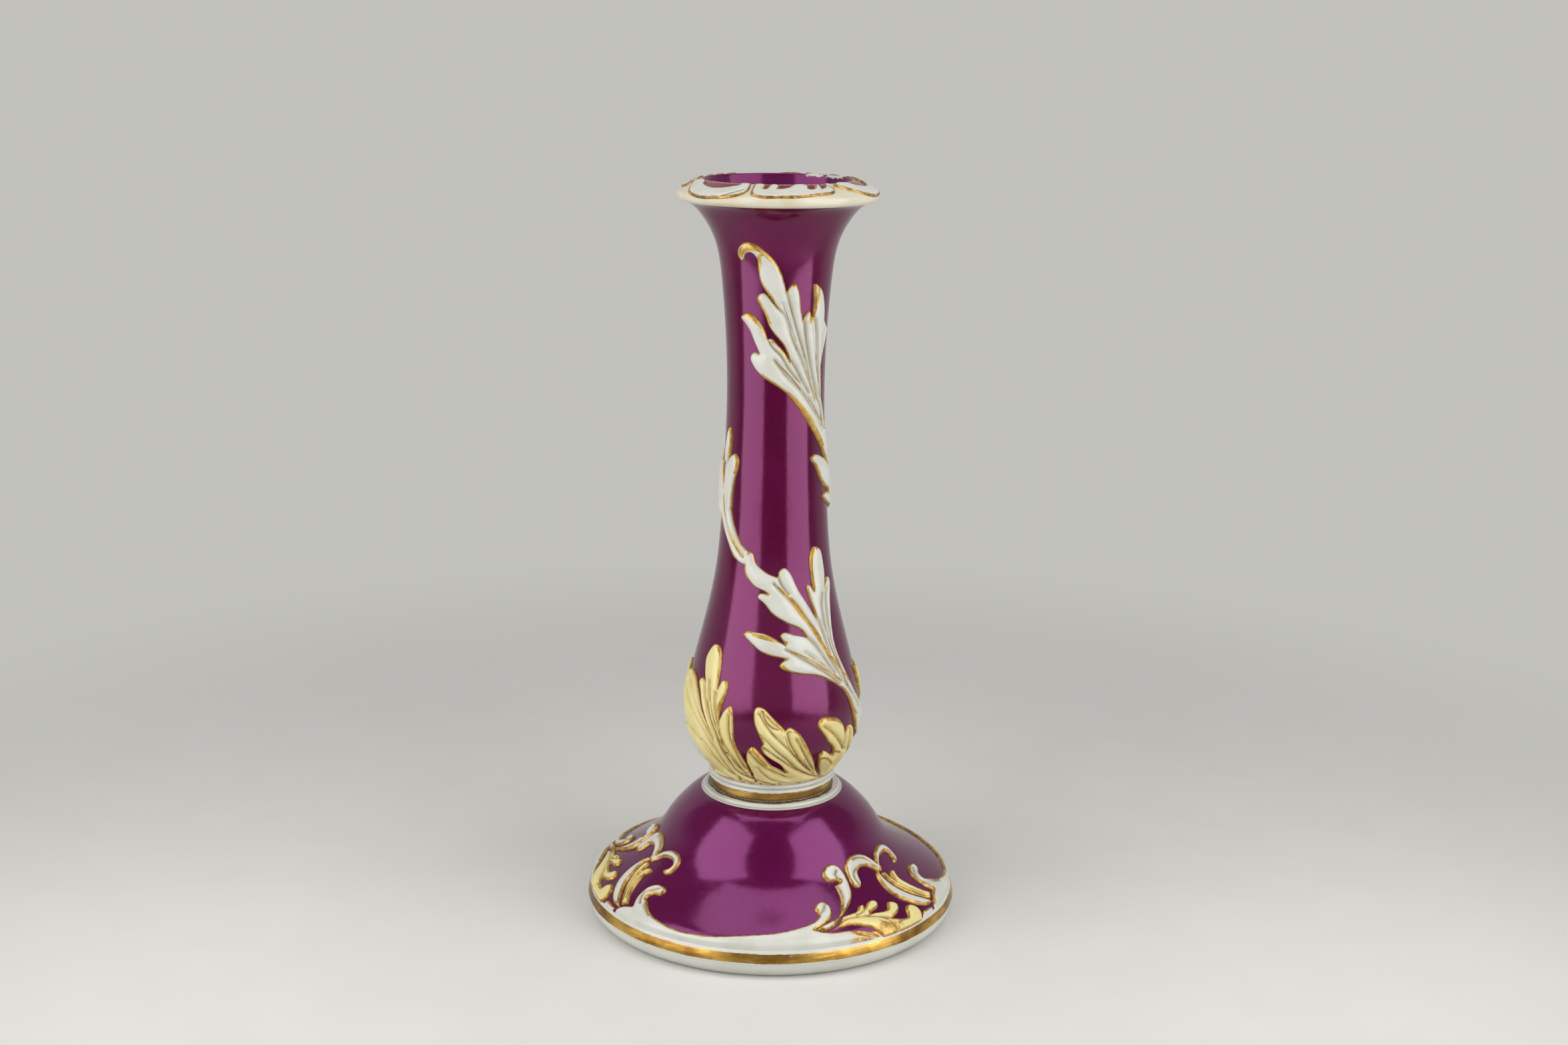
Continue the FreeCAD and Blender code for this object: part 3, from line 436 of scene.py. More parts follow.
def leafGlaze(name, ground, deep, groove, line, lean, tone, dragged=False):
    # deep is the darker tone, both for random pools and for the painted shade in the valleys
    # Glaze over moulded ornament. The mesh carries distances in millimetres: edge from the outline, vein
    # from the veins, gilt and brown from the brush strokes; lean is 1 where an edge faces down and left.
    # line is the width of the gilt outline, lean how much more of it faces down and left, tone its age;
    # dragged lets the gilding of the band below run up over the ornament on the right of the front.
    bench = Bench(bpy.data.materials.new(name))
    edge = bench.attribute("edge")
    crease = bench.attribute("vein")
    stroke = bench.attribute("gilt")
    dark = bench.attribute("brown")
    side = bench.attribute("lean")
    fine = bench.cloud(0.7, 4, 0.6)
    wander = bench.cloud(2.4, 3) - 0.5
    worn = bench.step(bench.cloud(1.5, 5, 0.7), 0.34, 0.46)

    # the glaze, darker in random patches, with painted shade in the valleys and along the outline and a
    # broken line of the groove colour along each vein
    colour = bench.blend(bench.step(bench.cloud(7, 4), 0.4, 0.75) * 0.35, ground, deep)
    # painted shade: darker towards the veins and just inside the outline, where less light falls on the
    # relief
    paintedValleyShade = bench.larger((1 - bench.step(crease, 0.05, 1.1)) * 0.75,
                          (1 - bench.step(edge, 0.2, 1.2)) * 0.4)
    colour = bench.blend(paintedValleyShade, colour, deep)
    thread = 1 - bench.step(crease + wander * 0.35, 0.1, 0.34)
    thread = thread * bench.step(bench.cloud(4, 3), 0.3, 0.5)
    colour = bench.blend(thread * 0.85, colour, groove)
    # painted shadow: dark brown along the brown strokes, in the grooves and under the lower edges of the rim
    # scrolls
    shadow = (1 - bench.step(dark + wander * 0.25, -0.12, 0.06)) * (0.5 + fine * 0.4)
    colour = bench.blend(shadow, colour, glazeLook["brown"])

    # gold along the outline and in the brush strokes
    width = (1 - lean + side * lean) * line + wander * line * 0.7
    gilt = (1 - bench.step(edge - width, -0.1, 0.08)) * (0.45 + worn * 0.55)
    painted = (1 - bench.step(stroke + wander * 0.2, -0.08, 0.07)) * (0.8 + worn * 0.2)
    gilt = bench.larger(gilt, painted)
    if dragged:
        height = bench.height() + (bench.cloud(3.5, 4) - 0.5) * 5
        smear = bench.between(bench.angle() + wander * 6, *draggedGilding["overScrolls"], 2.5)
        smear = smear * (1 - bench.step(height, *draggedGilding["topOverScrolls"]))
        gilt = bench.larger(gilt, smear * bench.step(bench.cloud(1.6, 5, 0.7), 0.3, 0.44) * 0.9)
    gold = bench.step(bench.cloud(2.2, 4, 0.6), 0.3, 0.7) * tone
    gold = bench.blend(gold, glazeLook["gold"], glazeLook["oldGold"])
    # painted shade: the gold turns brown at the very edge of the outline and down the flank, where the
    # relief's side is in shade
    rubbedAndEdgeShade = (1 - bench.step(edge + wander * 0.2, 0.02, 0.26)) * 0.6
    gold = bench.blend(rubbedAndEdgeShade, gold, glazeLook["brown"])
    return bench.finish({
        "Base Color": bench.blend(gilt, colour, gold),
        "Metallic": gilt * 0.5,
        "Roughness": 0.17 + bench.step(fine, 0.4, 0.8) * 0.1 + gilt * 0.12,
        "IOR": 1.5,
        "Normal": bench.bump(bench.cloud(2.5, 3) + fine * 0.25 + gilt * 0.3, 0.08, 0.35),
    })


magenta = magentaGlaze("magentaGlaze")
stemMagenta = magentaGlaze("stemMagentaGlaze", buffBelow=50.0)
footMagenta = footGlaze("footMagentaGlaze")
white = whiteGlaze("whiteGlaze")
rimWhite = rimGlaze("rimGlaze")
mouthGlaze = rimGlaze("mouthGlaze", inMouth=True)
whiteGround = (glazeLook["white"], glazeLook["shadedWhite"])
buffGround = (glazeLook["buff"], glazeLook["deepAndShadedBuff"])
whiteLeaf = leafGlaze("whiteLeafGlaze", *whiteGround, glazeLook["groove"], line=0.46, lean=0.6, tone=0.6)
buffLeaf = leafGlaze("buffLeafGlaze", *buffGround, glazeLook["amberGroove"], line=0.38, lean=0.4, tone=0.8)
whiteScroll = leafGlaze("whiteScrollGlaze", *whiteGround, glazeLook["oldGold"], line=0.85, lean=0.15,
                        tone=1.0, dragged=True)
buffScroll = leafGlaze("buffScrollGlaze", *buffGround, glazeLook["oldGold"], line=0.8, lean=0.15,
                       tone=1.0, dragged=True)
rimScroll = leafGlaze("rimScrollGlaze", *whiteGround, glazeLook["oldGold"], line=0.8, lean=0.5, tone=1.5)
cement = cementLook("oldCement")
whiteSlot = "white_gilt_glaze"
buffSlot = "buff_gilt_glaze"
print("glazes mixed")


def smoothMesh(name, bm, materials):
    # closes a bmesh into a smooth mesh
    mesh = bpy.data.meshes.new(name)
    bm.to_mesh(mesh)
    bm.free()
    for material in materials:
        mesh.materials.append(material)
    mesh.polygons.foreach_set("use_smooth", [True] * len(mesh.polygons))
    return mesh


def newPiece(name, mesh, nodes):
    # an object that rides on the candlestick and stands for its solids
    piece = bpy.data.objects.new(name, mesh)
    scene.collection.objects.link(piece)
    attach(piece, "root")
    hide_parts(*nodes)
    return piece


def turnedPiece(name, outline, materials, nodes, steps, pick=None):
    # spins a closed outline of (radius, height) once round the axis; pick chooses a material for a face
    bm = bmesh.new()
    line = [bm.verts.new((radius * mm, 0, height * mm)) for radius, height in outline]
    onAxis = outline[0][0] < 1e-6
    pairs = list(zip(line, line[1:]))
    if not onAxis:
        pairs.append((line[-1], line[0]))
    edges = [bm.edges.new(pair) for pair in pairs]
    bmesh.ops.spin(bm, geom=line + edges, cent=(0, 0, 0), axis=(0, 0, 1), angle=2 * math.pi, steps=steps,
                   use_merge=True)
    bmesh.ops.remove_doubles(bm, verts=bm.verts, dist=1e-7)
    if pick:
        for face in bm.faces:
            spot = face.calc_center_median() / mm
            face.material_index = pick(math.hypot(spot.x, spot.y), spot.z)
    bmesh.ops.recalc_face_normals(bm, faces=bm.faces)
    piece = newPiece(name, smoothMesh(name, bm, materials), nodes)
    piece.data.set_sharp_from_angle(angle=math.radians(50))
    return piece


def rounded(points, count):
    return [tuple(point) for point in splinePoints(points, count)]


def grown(poles, distance):
    # poles moved along the outline's normal
    poles = np.array(poles, float)
    slope = np.gradient(poles, axis=0)
    slope /= np.linalg.norm(slope, axis=1)[:, None]
    return [tuple(point) for point in poles + distance * np.column_stack([slope[:, 1], -slope[:, 0]])]


footBody = {
    "wall": 4.0,
    "ringInside": 52.6,
    "bore": 15.1,
    "neckUnderside": 36.3,
    "neckTop": 40.3,
    "whiteBelow": 5.2,
    "steps": 240,
}


def footSkin(radius, height):
    # 0 magenta on the dome, 1 white on the strip at its foot, on the neck's top and inside
    under = footWall.covers(radius, height)
    return 1 if under or height < footBody["whiteBelow"] or height >= footBody["neckTop"] - 0.01 else 0


hollow = [(footBody["ringInside"], 0)] + grown(footPoles[3:11], -footBody["wall"])
hollow += [(footBody["bore"], footBody["neckUnderside"])]
outline = rounded(footPoles, 150) + [(footBody["bore"], footBody["neckTop"])] + rounded(hollow, 70)[::-1]
turnedPiece("footBody", outline, [footMagenta, white], ["foot_casting"],
            footBody["steps"], footSkin)

stemBody = {
    "wall": 4.0,
    "base": 42.1,
    "spigot": 14.6,
    "spigotBore": 11.4,
    "spigotEnd": 36.6,
    "hollowFloor": 46.1,
    "ledge": 183.0,
    "ledgeRadius": 10.9,
    "pocket": 13.4,
    "pocketFunnel": [(13.4, 211), (13.4, 216.5), (16.6, 221.6), (22.4, 227.8), (24.7, 229.5)],
    "steps": 160,
}


def stemSkin(radius, height):
    # 0 magenta outside, 1 white under its base and inside
    return 1 if stemWall.covers(radius, height) or height <= stemBody["base"] + 0.01 else 0


hollow = [(stemBody["spigotBore"], stemBody["hollowFloor"])] + grown(stemPoles[3:10], -stemBody["wall"])
hollow += [(stemBody["ledgeRadius"], stemBody["ledge"])]
outline = [(stemBody["spigot"], stemBody["base"])] + rounded(stemPoles, 260)
outline += rounded(stemBody["pocketFunnel"], 24)[::-1]
outline += [(stemBody["pocket"], stemBody["ledge"])] + rounded(hollow, 60)[::-1]
outline += [(stemBody["spigotBore"], stemBody["spigotEnd"]), (stemBody["spigot"], stemBody["spigotEnd"])]
turnedPiece("stemBody", outline, [stemMagenta, white], ["stem_casting"],
            stemBody["steps"], stemSkin)

nozzle = {
    "seat": 183.0,
    "outside": 13.3,
    "inside": 11.2,
    "floor": 186.0,
    "funnel": [(13.3, 211), (13.3, 216.5), (16.5, 221.5), (22.3, 227.8), (24.6, 229.5)],
    "steps": 160,
}
outline = [(0, nozzle["seat"]), (nozzle["outside"], nozzle["seat"])] + rounded(nozzle["funnel"], 20)
outline += rounded(throatPoles, 50)
outline += [(nozzle["inside"], nozzle["floor"]), (0, nozzle["floor"])]
turnedPiece("candleNozzle", outline, [magenta], ["candle_nozzle"], nozzle["steps"])

rimBody = {"mouthInside": 23.5, "steps": 240}


def rimSkin(radius, height):
    # 0 white rim, 1 the wall of the mouth
    return 1 if radius < rimBody["mouthInside"] else 0


outline = rimEdgePoles[-1:] + rounded(rimPoles, 70) + rounded(rimEdgePoles, 24)[1:]
turnedPiece("rimMoulding", outline, [rimWhite, mouthGlaze], ["rim_moulding"],
            rimBody["steps"], rimSkin)

collar = {
    "bore": 15.1,
    "bottom": 40.3,
    "top": 41.6,
    "flank": 21.7,
    "bulge": 22.2,
    "smearedInside": 20.6,
    "steps": 200,
}
flank = [(collar["flank"], collar["bottom"]), (collar["bulge"], collar["bottom"]),
         (collar["bulge"], collar["top"]), (collar["flank"], collar["top"])]
outline = [(collar["bore"], collar["bottom"]), flank[0]] + rounded(flank, 12)[1:]
outline += [(collar["bore"], collar["top"])]
collarGlaze = whiteGlaze("collarGlaze", smearedInside=collar["smearedInside"])
turnedPiece("footCollar", outline, [collarGlaze], ["foot_collar"], collar["steps"])

cementBody = {
    "outline": [(14.65, 36.6), (15.05, 36.6), (15.05, 41.6), (17, 41.6), (18.6, 41.62), (19.5, 41.62),
                (19.7, 41.8), (19.5, 42.08), (17, 42.1), (14.65, 42.1)],
    # the mortar was squeezed out unevenly: waves of (count round the joint, shift, share of the radius)
    "raggedOutside": 18,
    "waves": ((7, 1, 0.009), (17, 0, 0.007), (41, 2, 0.005)),
    "steps": 200,
}
cementJoint = turnedPiece("cementJoint", cementBody["outline"], [cement], ["cement_joint"],
                          cementBody["steps"])
for vertex in cementJoint.data.vertices:
    if math.hypot(vertex.co.x, vertex.co.y) > cementBody["raggedOutside"] * mm:
        turn = math.atan2(vertex.co.y, vertex.co.x)
        waves = (share * math.sin(count * turn + shift) for count, shift, share in cementBody["waves"])
        ragged = sum(waves, 1)
        vertex.co.x *= ragged
        vertex.co.y *= ragged


def skin(wall, low, high, thickness, count=16):
    # outline of a thin layer over a body between two heights: thinner at its ends, its back in the wall
    runs = np.linspace(wall.runAt(low), wall.runAt(high), count)
    out = wall.outAt(runs)
    base = np.column_stack([wall.radiusAt(runs), wall.heightAt(runs)])
    over = base + out * thickness
    over[[0, -1]] = base[[0, -1]] + out[[0, -1]] * 0.05
    return [tuple(point) for point in over] + [tuple(point) for point in (base - out * 0.1)[::-1]]


# gilt bands: heights and thickness of the layer, heights of the gold on it, how ragged and how metallic
footGilt = {"layer": (4.7, 9.0, 0.2), "gold": (5.15, 8.3), "ragged": 0.3, "shine": 0.85, "steps": 240}
stemGilt = {"layer": (42.15, 44.35, 0.2), "gold": (41.95, 44.7), "ragged": 0.12, "shine": 0.6, "steps": 200}
for name, cad, glaze, wall, band in (("footGiltBand", "foot_gilt_band", "footGilding", footWall, footGilt),
                                     ("stemGiltBand", "stem_gilt_band", "stemGilding", stemWall, stemGilt)):
    gold = oldGilding(glaze, *band["gold"], band["ragged"], band["shine"])
    turnedPiece(name, skin(wall, *band["layer"]), [gold], [cad], band["steps"])

stemRing = {
    "inside": 19.0,
    "bottom": 44.4,
    "top": 47.6,
    "root": 19.55,  # radius at the edges of its two beads
    "swell": 0.85,
    "fullness": 0.6,  # a smaller number makes a bead squarer
    "beads": ((44.4, 45.9), (46.0, 47.6)),
    "bottomFlat": 19.5,  # radius of the flat faces under and over them
    "topFlat": 19.2,
    "giltLine": (44.75, 0.3),
    "steps": 200,
}
outline = [(stemRing["inside"], stemRing["bottom"]), (stemRing["bottomFlat"], stemRing["bottom"])]
for low, high in stemRing["beads"]:
    outline += [(stemRing["root"] + stemRing["swell"] * math.sin(math.pi * share) ** stemRing["fullness"],
                 low + (high - low) * share) for share in np.linspace(0, 1, 12)]
outline += [(stemRing["topFlat"], stemRing["top"]), (stemRing["inside"], stemRing["top"])]
ringGlaze = whiteGlaze("ringGlaze", giltLine=stemRing["giltLine"])
turnedPiece("stemRingMoulding", outline, [ringGlaze], ["stem_ring_moulding"],
            stemRing["steps"])
print("bodies turned")


relief = {
    # alike for every ornament: millimetres
    "strokeGap": 0.12,  # between the points of a stroke
    "sunk": 0.55,  # depth of the sheet's back under the wall
    "least": 0.06,  # rise of the sheet where it is lowest
    "veinFloor": 0.1,  # distance to a vein that the swell of a lobe starts from
    "notchFade": 1.2,  # width beside the outline in which a vein's notch runs out
    "dip": 0.5,  # width past the outline in which the sheet goes under the wall
    "dipSlope": 1.2,
    "measured": 1.0,  # width past the outline in which veins and strokes still count
    "bandFade": 1.6,  # height in which an ornament comes up out of the band under it
    "bandShare": 0.12,  # share of its rise that it has in the band
    "plainHem": 1.2,  # height over that band in which it has no gilt line
    # cells of the grid
    "pad": 3,  # round the outline
    "snap": 0.45,  # reach of the outline, which draws points onto itself
    "trim": 1.8,  # past the outline, where faces are cut off
}
# what the mesh of an ornament carries, and its value at a point that nothing is near
leafValues = {"edge": 0.0, "vein": 9.0, "lean": 0.0, "gilt": 9.0, "brown": 9.0}
noBrush = {"gilt": [], "brown": []}


def smoothThrough(points, wall, gap):
    # natural cubic spline through a stroke of (angle, run), with a point about every `gap` millimetres
    points = np.array(points, float)
    scale = math.radians(1) * wall.radiusAt(points[:, 1])
    steps = np.hypot(np.diff(points[:, 0]) * (scale[1:] + scale[:-1]) / 2, np.diff(points[:, 1]))
    along = np.concatenate([[0], np.cumsum(steps)])
    fine = np.linspace(0, along[-1], max(3, int(along[-1] / gap) + 1))
    if len(points) == 2:
        return np.column_stack([np.interp(fine, along, points[:, axis]) for axis in (0, 1)])
    size = len(points)
    matrix = np.eye(size)
    for row in range(1, size - 1):
        matrix[row, row - 1:row + 2] = steps[row - 1], 2 * (steps[row - 1] + steps[row]), steps[row]
    slope = np.diff(points, axis=0) / steps[:, None]
    bend = np.zeros_like(points)
    bend[1:-1] = 6 * np.diff(slope, axis=0)
    bend = np.linalg.solve(matrix, bend)
    span = np.clip(np.searchsorted(along, fine, side="right") - 1, 0, size - 2)
    near = (fine - along[span])[:, None]
    far = (along[span + 1] - fine)[:, None]
    width = steps[span][:, None]
    return (bend[span] * far ** 3 + bend[span + 1] * near ** 3) / (6 * width) \
        + (points[span] / width - bend[span] * width / 6) * far \
        + (points[span + 1] / width - bend[span + 1] * width / 6) * near


def strokeOn(wall, stroke):
    # a stroke of (angle, height) as a fine line of (angle, run)
    points = [(angle, wall.runAt(height)) for angle, height in stroke]
    return smoothThrough(points, wall, relief["strokeGap"])


def treeOf(wall, line):
    # finds the point of a line of (angle, run) that is nearest to a place in millimetres
    tree = kdtree.KDTree(len(line))
    for index, place in enumerate(wall.place(line[:, 0], line[:, 1]) / mm):
        tree.insert(place, index)
    tree.balance()
    return tree


def borderOn(wall, outline):
    # an outline's strokes as one fine line, and how much each point of it faces down and left, 0 to 1
    chained = [[outline[index - 1][-1]] + stroke for index, stroke in enumerate(outline)]
    border = np.concatenate([strokeOn(wall, stroke)[:-1] for stroke in chained])
    ahead = np.roll(border, -1, axis=0) - border
    ahead[:, 0] *= math.radians(1) * wall.radiusAt(border[:, 1])
    area = np.sum(border[:, 0] * np.roll(border[:, 1], -1) - np.roll(border[:, 0], -1) * border[:, 1])
    outward = np.column_stack([ahead[:, 1], -ahead[:, 0]]) * (1 if area > 0 else -1)
    outward /= np.maximum(np.linalg.norm(outward, axis=1), 1e-9)[:, None]
    downLeft = np.array([-0.75, -0.66])
    return border, 0.5 + 0.5 * (outward @ downLeft)


def brushedOn(wall, strokes):
    # the painted strokes, each (half width, points), as one tree with the half width at each of its points
    lines = [strokeOn(wall, points) for halfWidth, points in strokes]
    # a stroke swells from its ends to its middle
    halves = [halfWidth * (0.6 + 0.4 * np.sin(np.linspace(0.25, math.pi - 0.25, len(line))))
              for (halfWidth, points), line in zip(strokes, lines)]
    return treeOf(wall, np.concatenate(lines)), np.concatenate(halves)


def gridOver(wall, border, cell):
    # a grid over the outline with cells of about `cell` millimetres, and the angle and run of its points
    pad = cell * relief["pad"]
    middleRadius = wall.radiusAt(border[:, 1]).mean()
    lowAngle = border[:, 0].min() - math.degrees(pad / middleRadius)
    highAngle = border[:, 0].max() + math.degrees(pad / middleRadius)
    lowRun, highRun = border[:, 1].min() - pad, border[:, 1].max() + pad
    across = int(math.radians(highAngle - lowAngle) * middleRadius / cell)
    up = int((highRun - lowRun) / cell)
    bm = bmesh.new()
    bmesh.ops.create_grid(bm, x_segments=across, y_segments=up, size=0.5)
    square = np.array([vertex.co for vertex in bm.verts])
    angle = lowAngle + (square[:, 0] + 0.5) * (highAngle - lowAngle)
    run = lowRun + (square[:, 1] + 0.5) * (highRun - lowRun)
    return bm, angle, run


def insideOf(border, angle, run):
    # True for points inside the outline: a line to the right crosses it an odd number of times
    inside = np.zeros(len(angle), bool)
    for (a1, r1), (a2, r2) in zip(border, np.roll(border, -1, axis=0)):
        if r1 == r2:
            continue
        crosses = (run > min(r1, r2)) & (run <= max(r1, r2))
        inside ^= crosses & (angle < a1 + (run - r1) * (a2 - a1) / (r2 - r1))
    return inside


def measured(wall, leaf, brush, cell, border, leaning, angle, run, inside):
    # what the ornament's mesh carries, for each point; points close to the outline are drawn onto it
    borderTree = treeOf(wall, border)
    veinTree = None
    if leaf["veins"]:
        veinTree = treeOf(wall, np.concatenate([strokeOn(wall, vein) for vein in leaf["veins"]]))
    brushed = {kind: brushedOn(wall, brush[kind]) for kind in ("gilt", "brown") if brush[kind]}
    values = {name: np.full(len(angle), plain) for name, plain in leafValues.items()}
    for index, spot in enumerate(wall.place(angle, run) / mm):
        near, found, distance = borderTree.find(spot)
        values["edge"][index] = distance if inside[index] else -distance
        values["lean"][index] = leaning[found]
        if distance < cell * relief["snap"]:
            angle[index], run[index] = border[found]
            values["edge"][index] = 0
        if values["edge"][index] < -relief["measured"]:
            continue
        if veinTree:
            values["vein"][index] = veinTree.find(spot)[2]
        for kind, (tree, halves) in brushed.items():
            near, found, distance = tree.find(spot)
            values[kind][index] = distance - halves[found]
    return values


def rounding(depth, width):
    # a quarter round: 0 at the edge, 1 from `width` inwards
    share = np.clip(depth / width, 0, 1)
    return np.sqrt(1 - (1 - share) ** 2)


def riseOf(look, values, place, inside, balls, wall):
    # how far each point stands off the wall, from its distance to the outline and to the veins
    edge, vein = values["edge"], values["vein"]
    full = look["rise"]
    lobe = rounding(np.minimum(edge, vein + relief["veinFloor"]), look["crown"])
    rise = full * (look["shoulder"] * rounding(edge, look["shoulderWidth"]) + (1 - look["shoulder"]) * lobe)
    groove = np.minimum(vein, np.maximum(values["brown"], 0))
    notch = np.exp(-(groove / look["notchWidth"]) ** 2)
    rise -= look["notch"] * notch * rounding(edge, relief["notchFade"])
    if look["fadeBelow"]:
        rise *= np.clip((place[:, 2] - look["fadeBelow"]) / relief["bandFade"], relief["bandShare"], 1)
    for ballAngle, ballHeight, ballRadius, ballRise in balls:
        centre = wall.place(np.array([ballAngle]), np.array([wall.runAt(ballHeight)])) / mm
        away = np.linalg.norm(place - centre, axis=1)
        dome = ballRise * np.sqrt(np.clip(1 - (away / ballRadius) ** 2, 0, 1))
        rise = np.where(inside, np.maximum(rise, dome), rise)
    dip = np.maximum(edge, -relief["dip"]) * relief["dipSlope"]
    return np.where(edge > 0, np.clip(rise, relief["least"], full), dip)


def moulded(names, nodes, pitch, wall, leaf, look, material, slotName, brush=noBrush, balls=()):
    # Ornament as a closed sheet raised off a body, with a copy at every `pitch` degrees. It starts as a
    # grid over the body's surface, is cut out along the outline and takes its height from riseOf.
    border, leaning = borderOn(wall, leaf["outline"])
    bm, angle, run = gridOver(wall, border, look["grid"])
    place = wall.place(angle, run) / mm
    inside = insideOf(border, angle, run)
    values = measured(wall, leaf, brush, look["grid"], border, leaning, angle, run, inside)
    rise = riseOf(look, values, place, inside, balls, wall)
    sunk = wall.place(angle, run, -relief["sunk"])
    raised = wall.place(angle, run, rise)
    if look["fadeBelow"]:
        # no gilt line where the ornament runs out into the band under it
        hem = np.clip(relief["plainHem"] - (place[:, 2] - look["fadeBelow"]), 0, relief["plainHem"])
        values["edge"] = values["edge"] + hem * (values["edge"] > 0) * 3

    order = bm.verts.layers.int.new("order")
    layers = [(bm.verts.layers.float.new(name), values[name]) for name in leafValues]
    for index, vertex in enumerate(bm.verts):
        vertex[order] = index
        for layer, numbers in layers:
            vertex[layer] = numbers[index]
    outside = []
    for face in bm.faces:
        edges = [values["edge"][vertex[order]] for vertex in face.verts]
        if max(edges) < -1e-6 or min(edges) < -relief["trim"] * look["grid"]:
            outside.append(face)
    bmesh.ops.delete(bm, geom=outside, context="FACES")
    for vertex in bm.verts:
        vertex.co = sunk[vertex[order]]
    lifted = bmesh.ops.extrude_face_region(bm, geom=bm.faces[:], use_keep_orig=True)
    for item in lifted["geom"]:
        if isinstance(item, bmesh.types.BMVert):
            item.co = raised[item[order]]
    bmesh.ops.recalc_face_normals(bm, faces=bm.faces)
    bm.verts.layers.int.remove(order)

    mesh = smoothMesh(names[0], bm, [material])
    for index, (name, node) in enumerate(zip(names, nodes)):
        copy = mesh.copy() if index else mesh
        copy.name = name
        copy.transform(Matrix.Rotation(math.radians(pitch * index), 4, "Z"))
        newPiece(name, copy, [node])
    print("moulded", names[0], len(mesh.polygons), "faces")


def thirds(name, cad):
    # the names and the nodes of an ornament that comes three times round
    return [name + str(copy) for copy in (1, 2, 3)], ["%s_%d" % (cad, copy) for copy in (1, 2, 3)]


# An outline is a ring of strokes of (angle, height): degrees from the front, millimetres from the floor.
# Each stroke starts where the one before it ends, so only its later points are given.
upperLeaf = {
    "outline": [
        [(137, 120.1), (127, 124.2), (118.6, 127.5), (110, 130.8), (101.4, 132.5), (90, 134),
         (80, 135.2), (71.4, 136.4), (66, 137.6), (63.5, 138.6)],
        [(68, 139.6), (76, 139.4), (84, 138.8)],
        [(77, 140.6), (70, 141.4), (62.4, 143.2), (55.2, 146.2), (49.6, 149.2), (45.5, 150.4),
         (43.2, 151.7)],
        [(50, 152.6), (60, 151.8), (71, 150.1), (80, 148)],
        [(71.4, 150.8), (61.4, 154.6), (42.9, 161.8), (24.3, 168.5), (10, 172.9), (-5.7, 175.7),
         (-21.4, 179), (-27.1, 181.2), (-29.1, 183.6), (-25, 184.9), (-18.6, 184.6)],
        [(-25.7, 189), (-32.9, 192.8), (-39.8, 195.6), (-32.9, 196.9), (-22.9, 195.8), (-12.9, 192.3),
         (-9.1, 189)],
        [(-6, 189.3), (1.4, 187.7), (8.6, 185.6), (15.7, 182)],
        [(10, 186.4), (1.4, 189.6), (-7.1, 192.8), (-14.3, 197.8), (-19.5, 202.3), (-14.3, 203.2),
         (-5.7, 201.2), (1.4, 198.7)],
        [(-7.1, 202.3), (-15.7, 206.1), (-18.3, 210.4), (-18.5, 213.4)],
        [(-24, 215.3), (-30, 214.6), (-33.8, 212.6), (-37.6, 213.6), (-37.2, 216.4), (-31, 218.2),
         (-22.5, 218.4), (-12.5, 216.3), (-4.3, 213.9), (2.9, 210.6), (10.4, 203.4)],
        [(14, 205.4), (18.6, 206.2), (23.5, 204.2), (26.5, 199.5), (29.3, 194.5)],
        [(33, 196.8), (37, 197.6), (40, 196.2), (42.2, 195)],
        [(43.5, 198), (42.2, 203), (42.6, 205.6), (50, 204.6), (57, 201.4), (60.8, 197), (61.3, 194.5)],
        [(64.5, 193.2), (68.6, 192.4), (68, 189), (64, 184.5), (61.6, 179), (62, 174), (66, 168),
         (71, 162), (76, 156), (80, 151.5), (90, 147.5), (100, 143), (108, 139)],
        [(112, 144), (110.5, 150), (113, 157), (118.6, 160.4), (122, 157.5), (121.5, 153),
         (118.6, 149.2)],
        [(124.3, 151.8), (130, 152.5), (135.3, 151.2), (134.6, 147.5), (130.7, 144), (128.6, 139.7),
         (127.4, 134.7)],
        [(131.4, 131.3), (137.1, 128), (144.3, 124.7), (155, 122.6)],
        [(157.5, 120.5), (155, 118)],
    ],
    "veins": [
        [(-0.5, 182.4), (5.8, 179.7), (13.5, 177.3), (23, 174.8), (31.8, 172.2), (41.5, 168.8),
         (53.5, 164.6), (63, 160.4)],
        [(16.8, 182.5), (22.8, 179.9), (31.5, 175.6), (39.5, 172.3)],
        [(1.8, 198.6), (9, 196.4), (15.8, 190.9), (22.8, 186.1), (30.5, 181.8), (36.8, 177.9),
         (44, 173.6), (50.2, 169.6)],
        [(11, 203.2), (14, 199.8), (18.2, 195.7), (23.8, 190.8), (30, 185.9), (36, 181), (41.5, 176.1)],
        [(31, 194.3), (33, 190), (37, 185.1), (42.2, 179.5), (49, 173.8), (57.8, 167.9), (66.8, 162.6)],
        [(45, 194.8), (48.2, 190.3), (49.8, 186.1), (51.8, 181.9), (55, 177.7), (60, 172), (67, 166.1),
         (75.5, 160.1)],
        [(68.2, 192.9), (61.5, 190.2), (60.2, 185.8), (59.8, 180.3), (62.2, 174.7), (69, 167.4)],
        [(-7.5, 188.5), (-3.2, 186.5), (4.2, 184.5), (11, 181.4), (20, 177.9), (28.5, 175.4)],
        [(113.5, 148.9), (110.2, 142.5), (110, 137.5), (116, 132.9), (126, 128.6), (138, 124.3),
         (147.5, 121.3)],
        [(127, 134.3), (134.2, 129.7), (142, 125.9), (150.5, 123.2)],
    ],
}
